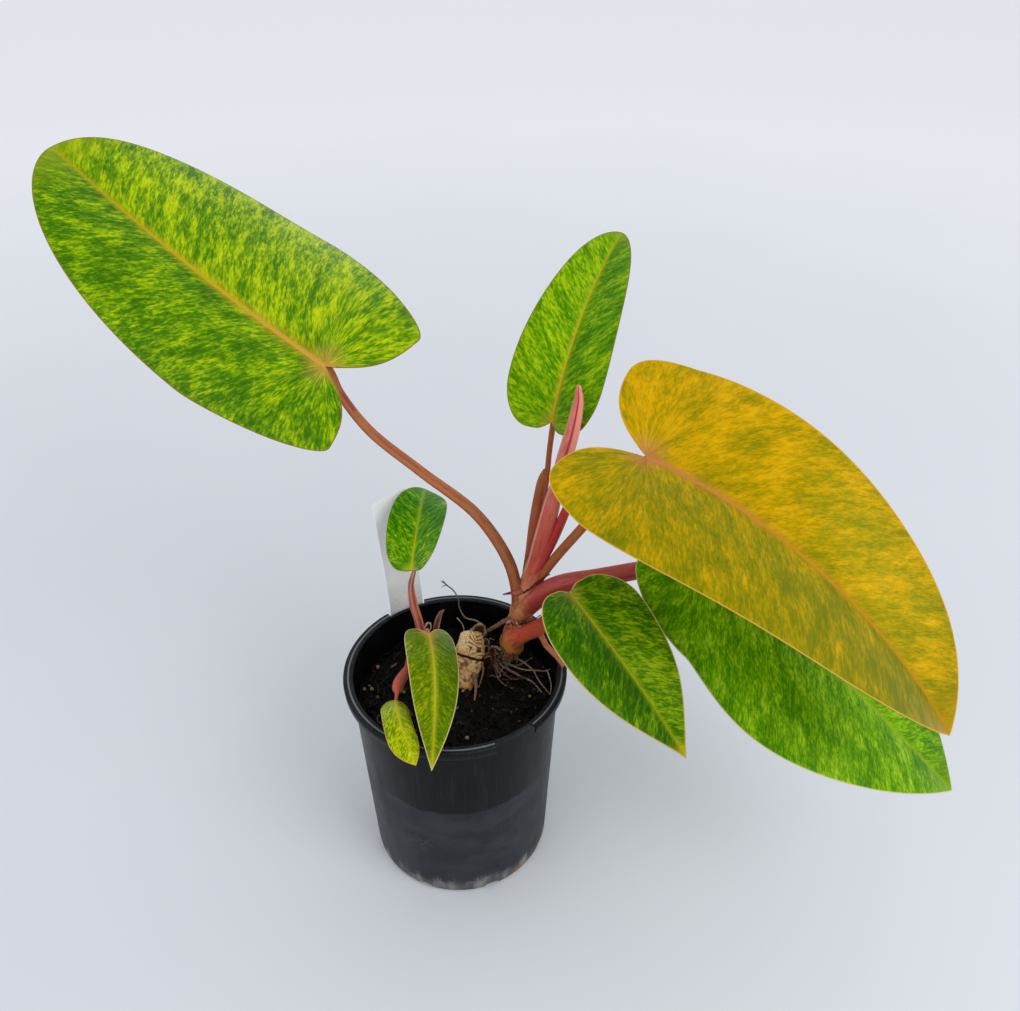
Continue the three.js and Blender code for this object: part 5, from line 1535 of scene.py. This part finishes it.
cutters = []
inner, outer = [radius / 1000 for radius in pot["notchRings"]]
low, high = [height / 1000 for height in pot["notchHeights"]]
for k, centre in enumerate(pot["notches"]):
    cut = bmesh.new()
    start = math.radians(centre - pot["notchHalf"])
    outline = [cut.verts.new((r * math.cos(start), r * math.sin(start), z))
             for r, z in ((inner, low), (outer, low), (outer, high), (inner, high))]
    face = cut.faces.new(outline)
    bmesh.ops.spin(cut, geom=[face, *face.edges, *outline], cent=(0, 0, 0), axis=(0, 0, 1),
                   angle=math.radians(2 * pot["notchHalf"]), steps=24, use_duplicate=False)
    cutters.append(cutterFrom("rimNotch%d" % k, cut))
for k in range(pot["drains"]):
    cut = bmesh.new()
    bmesh.ops.create_cube(cut, size=1)
    bmesh.ops.scale(cut, vec=pot["drainSize"], verts=cut.verts)
    uprights = [edge for edge in cut.edges if abs(edge.verts[0].co.x - edge.verts[1].co.x) > 0.01]
    bmesh.ops.bevel(cut, geom=uprights, offset=pot["drainCorner"], offset_type="OFFSET", segments=4, profile=0.5,
                    affect="EDGES", material=-1)
    turned = Matrix.Rotation(math.radians(22.5 + 360 * k / pot["drains"]), 3, "Z")
    bmesh.ops.translate(cut, vec=(pot["footRadius"], 0, 0), verts=cut.verts)
    bmesh.ops.rotate(cut, cent=(0, 0, 0), matrix=turned, verts=cut.verts)
    cutters.append(cutterFrom("drain%d" % k, cut))

potWearAndPaintedLight = {
    "reflectionEdge": (0.1335, 0.1305),  # the painted reflection on the lower wall starts below this
    "stain": (0.0555, -0.063, 0.006),
    "rimTop": (0.2138, 0.2146),
    "highlightRing": 0.0955,
    "scuffRadius": 0.09,
    "scuffs": ((-112, 0.5, 0.075), (-108, -0.6, 0.075)),  # angle, lean and height of the arms of a V
}
potMaterial, tree, shader = newMaterial("potPlastic", **{"Specular IOR Level": 0.11})
position = objectPlace(tree)
height = heightOf(tree, position)
upright = speckle(tree, stretch(tree, position, (420, 420, 9)), 1.0, 3.0, 0.6)
smudge = speckle(tree, stretch(tree, position, (34, 34, 14)), 1.0, 4.0, 0.6)
dust = speckle(tree, position, 520, 4.0, 0.7)
shade = blend(tree, fade(tree, smudge, 0.35, 0.7), "#050506", "#0d0e10")
shade = layered(tree, shade, (upright, 0.5, 0.74, 0.4, "#26282b"))

# the lower wall painted lighter as a painted reflection of a pale surface below the pot, and the mineral dirt
# round the foot
reflectionHeight = plus(tree, height, times(tree, smudge, 0.014))
lower = fade(tree, reflectionHeight, *potWearAndPaintedLight["reflectionEdge"])
clouds = fade(tree, speckle(tree, stretch(tree, position, (26, 26, 40)), 1.0, 4.0, 0.6), 0.34, 0.68, 0.5, 0.95)
# lower masks the painted reflection on the lower wall
shade = blend(tree, times(tree, lower, clouds), shade, "#303338")
ragged = speckle(tree, stretch(tree, position, (60, 60, 20)), 1.0, 3.0)
foot = plus(tree, height, times(tree, plus(tree, dust, ragged), -0.022))
grime = fade(tree, foot, 0.001, -0.012)
shade = blend(tree, times(tree, grime, fade(tree, ragged, 0.4, 0.62, 0.25, 0.75)), shade, "#8f8d88")
stainAt = vectorMaths(tree, "DISTANCE", position, potWearAndPaintedLight["stain"], "Value")
stain = plus(tree, stainAt, times(tree, dust, 0.008))
shade = layered(tree, shade, (height, 0.0038, 0.001, 0.35, "#9a9082"), (stain, 0.013, 0.006, 0.8, "#8a5a34"))

# the rim's top, with a thin light ring that is a painted highlight
outward = vectorMaths(tree, "LENGTH", vectorMaths(tree, "MULTIPLY", position, (1, 1, 0)), output="Value")
rimTop = fade(tree, height, *potWearAndPaintedLight["rimTop"])
shade = blend(tree, times(tree, rimTop, fade(tree, dust, 0.4, 0.7, 0.1, 0.5)), shade, "#3a3c40")
# a painted highlight along a thin ring of the rim's top
fromRing = maths(tree, "ABSOLUTE", maths(tree, "SUBTRACT", outward, potWearAndPaintedLight["highlightRing"]))
paintedHighlight = fade(tree, fromRing, 0.0011, 0.0003, 0.0, 0.6)
shade = blend(tree, times(tree, rimTop, paintedHighlight), shade, "#8c8f92")
for angle, lean, high in potWearAndPaintedLight["scuffs"]:
    turn, reach = math.radians(angle), potWearAndPaintedLight["scuffRadius"]
    near = vectorMaths(tree, "SUBTRACT", position, (reach * math.cos(turn), reach * math.sin(turn), high))
    turned = addNode(tree, "VectorRotate", {"Vector": near, "Axis": (0, 1, 0), "Angle": lean}).outputs["Vector"]
    long, wide = [vectorMaths(tree, "LENGTH", stretch(tree, turned, scale), output="Value")
                  for scale in ((1, 0, 14), (14, 0, 1))]
    mask = fade(tree, maths(tree, "MINIMUM", long, wide), 0.012, 0.006, 0.0, 0.35)
    shade = blend(tree, times(tree, mask, fade(tree, dust, 0.4, 0.6)), shade, "#6a6c70")
feed(tree, shade, shader.inputs["Base Color"])
rough = fade(tree, smudge, 0.3, 0.7, 0.3, 0.42)
rough = plus(tree, rough, times(tree, lower, 0.08))
feed(tree, plus(tree, rough, times(tree, grime, 0.25)), shader.inputs["Roughness"])
feed(tree, bump(tree, upright, 0.00016, 0.5, bump(tree, dust, 0.00012, 0.4)), shader.inputs["Normal"])

piece = finishPiece("nurseryPot", bm, potMaterial, "pot", "pot", crease=pot["crease"])
carve(piece, cutters)
bm = bmesh.new()
bm.from_mesh(piece.data)
markCreases(bm, pot["crease"])
bm.to_mesh(piece.data)
bm.free()
print("pot is made")

tag = {
    "half": 0.017,
    "top": 0.3305,
    "bottom": 0.176,
    "thickness": 0.001,
    "leanLeft": -0.001,
    "leanBack": 0.024,
    "bow": 0.00088,
    "narrowing": 0.25,  # it narrows to a point that stands in the mix
    "narrowRun": (0.012, 0.022),
    "angle": 122,
    "radius": 0.0956,
    "potHeight": 0.215,
    "leafShadow": (-0.057, 0.091, 0.268),
}
bm = bmesh.new()
bmesh.ops.create_grid(bm, x_segments=16, y_segments=48, size=1)
turn = math.radians(tag["angle"])
outward, sideways = Vector((math.cos(turn), math.sin(turn), 0)), Vector((math.sin(turn), -math.cos(turn), 0))
for vert in bm.verts:
    side, share = vert.co.x, (vert.co.y + 1) / 2
    z = tag["bottom"] + (tag["top"] - tag["bottom"]) * share
    above = max(0, (z - tag["potHeight"]) / (tag["top"] - tag["potHeight"]))
    start, run = tag["narrowRun"]
    narrow = 1 - tag["narrowing"] * min(1, max(0, (tag["potHeight"] - start - z) / run))
    reach = tag["radius"] - tag["bow"] * side * side + tag["leanBack"] * above ** 1.3
    spot = outward * reach + sideways * (side * tag["half"] * narrow - tag["leanLeft"] * above)
    vert.co = (spot.x, spot.y, z + 0.004 * side * share ** 8)
bmesh.ops.recalc_face_normals(bm, faces=bm.faces)
if sum((face.normal @ outward) for face in bm.faces) > 0:
    bmesh.ops.reverse_faces(bm, faces=bm.faces)
bmesh.ops.solidify(bm, geom=bm.faces, thickness=tag["thickness"])
tagMaterial, tree, shader = newMaterial("tagPlastic", **{"Specular IOR Level": 0.45, "Subsurface Weight": 0.15,
                                                          "Subsurface Radius": (0.003, 0.003, 0.003)})
position = objectPlace(tree)
clouded = speckle(tree, position, 28, 3.0)
shade = blend(tree, fade(tree, clouded, 0.35, 0.7), "#eef0f2", "#fbfcfc")
# a soft grey patch painted on the tag: the painted shadow of a leaf above it
leafShadow = vectorMaths(tree, "DISTANCE", position, tag["leafShadow"], "Value")
leafShadow = plus(tree, leafShadow, times(tree, clouded, 0.02))
shade = layered(tree, shade, (leafShadow, 0.034, 0.012, 0.3, "#9a9d9c"))
low = fade(tree, heightOf(tree, position), 0.26, 0.205)
splash = times(tree, fade(tree, speckle(tree, position, 800, 2.0), 0.6, 0.72), low)
shade = blend(tree, times(tree, splash, 0.7), shade, "#6e6254")
feed(tree, shade, shader.inputs["Base Color"])
feed(tree, fade(tree, clouded, 0.3, 0.7, 0.32, 0.46), shader.inputs["Roughness"])
streaks = speckle(tree, stretch(tree, position, (900, 900, 60)), 1.0)
feed(tree, bump(tree, streaks, 0.0001, 0.4), shader.inputs["Normal"])
finishPiece("plantTag", bm, tagMaterial, "tag", "plant_tag", crease=45)
print("tag is made")

corners = {"cad": cadBox, "visual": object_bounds()}
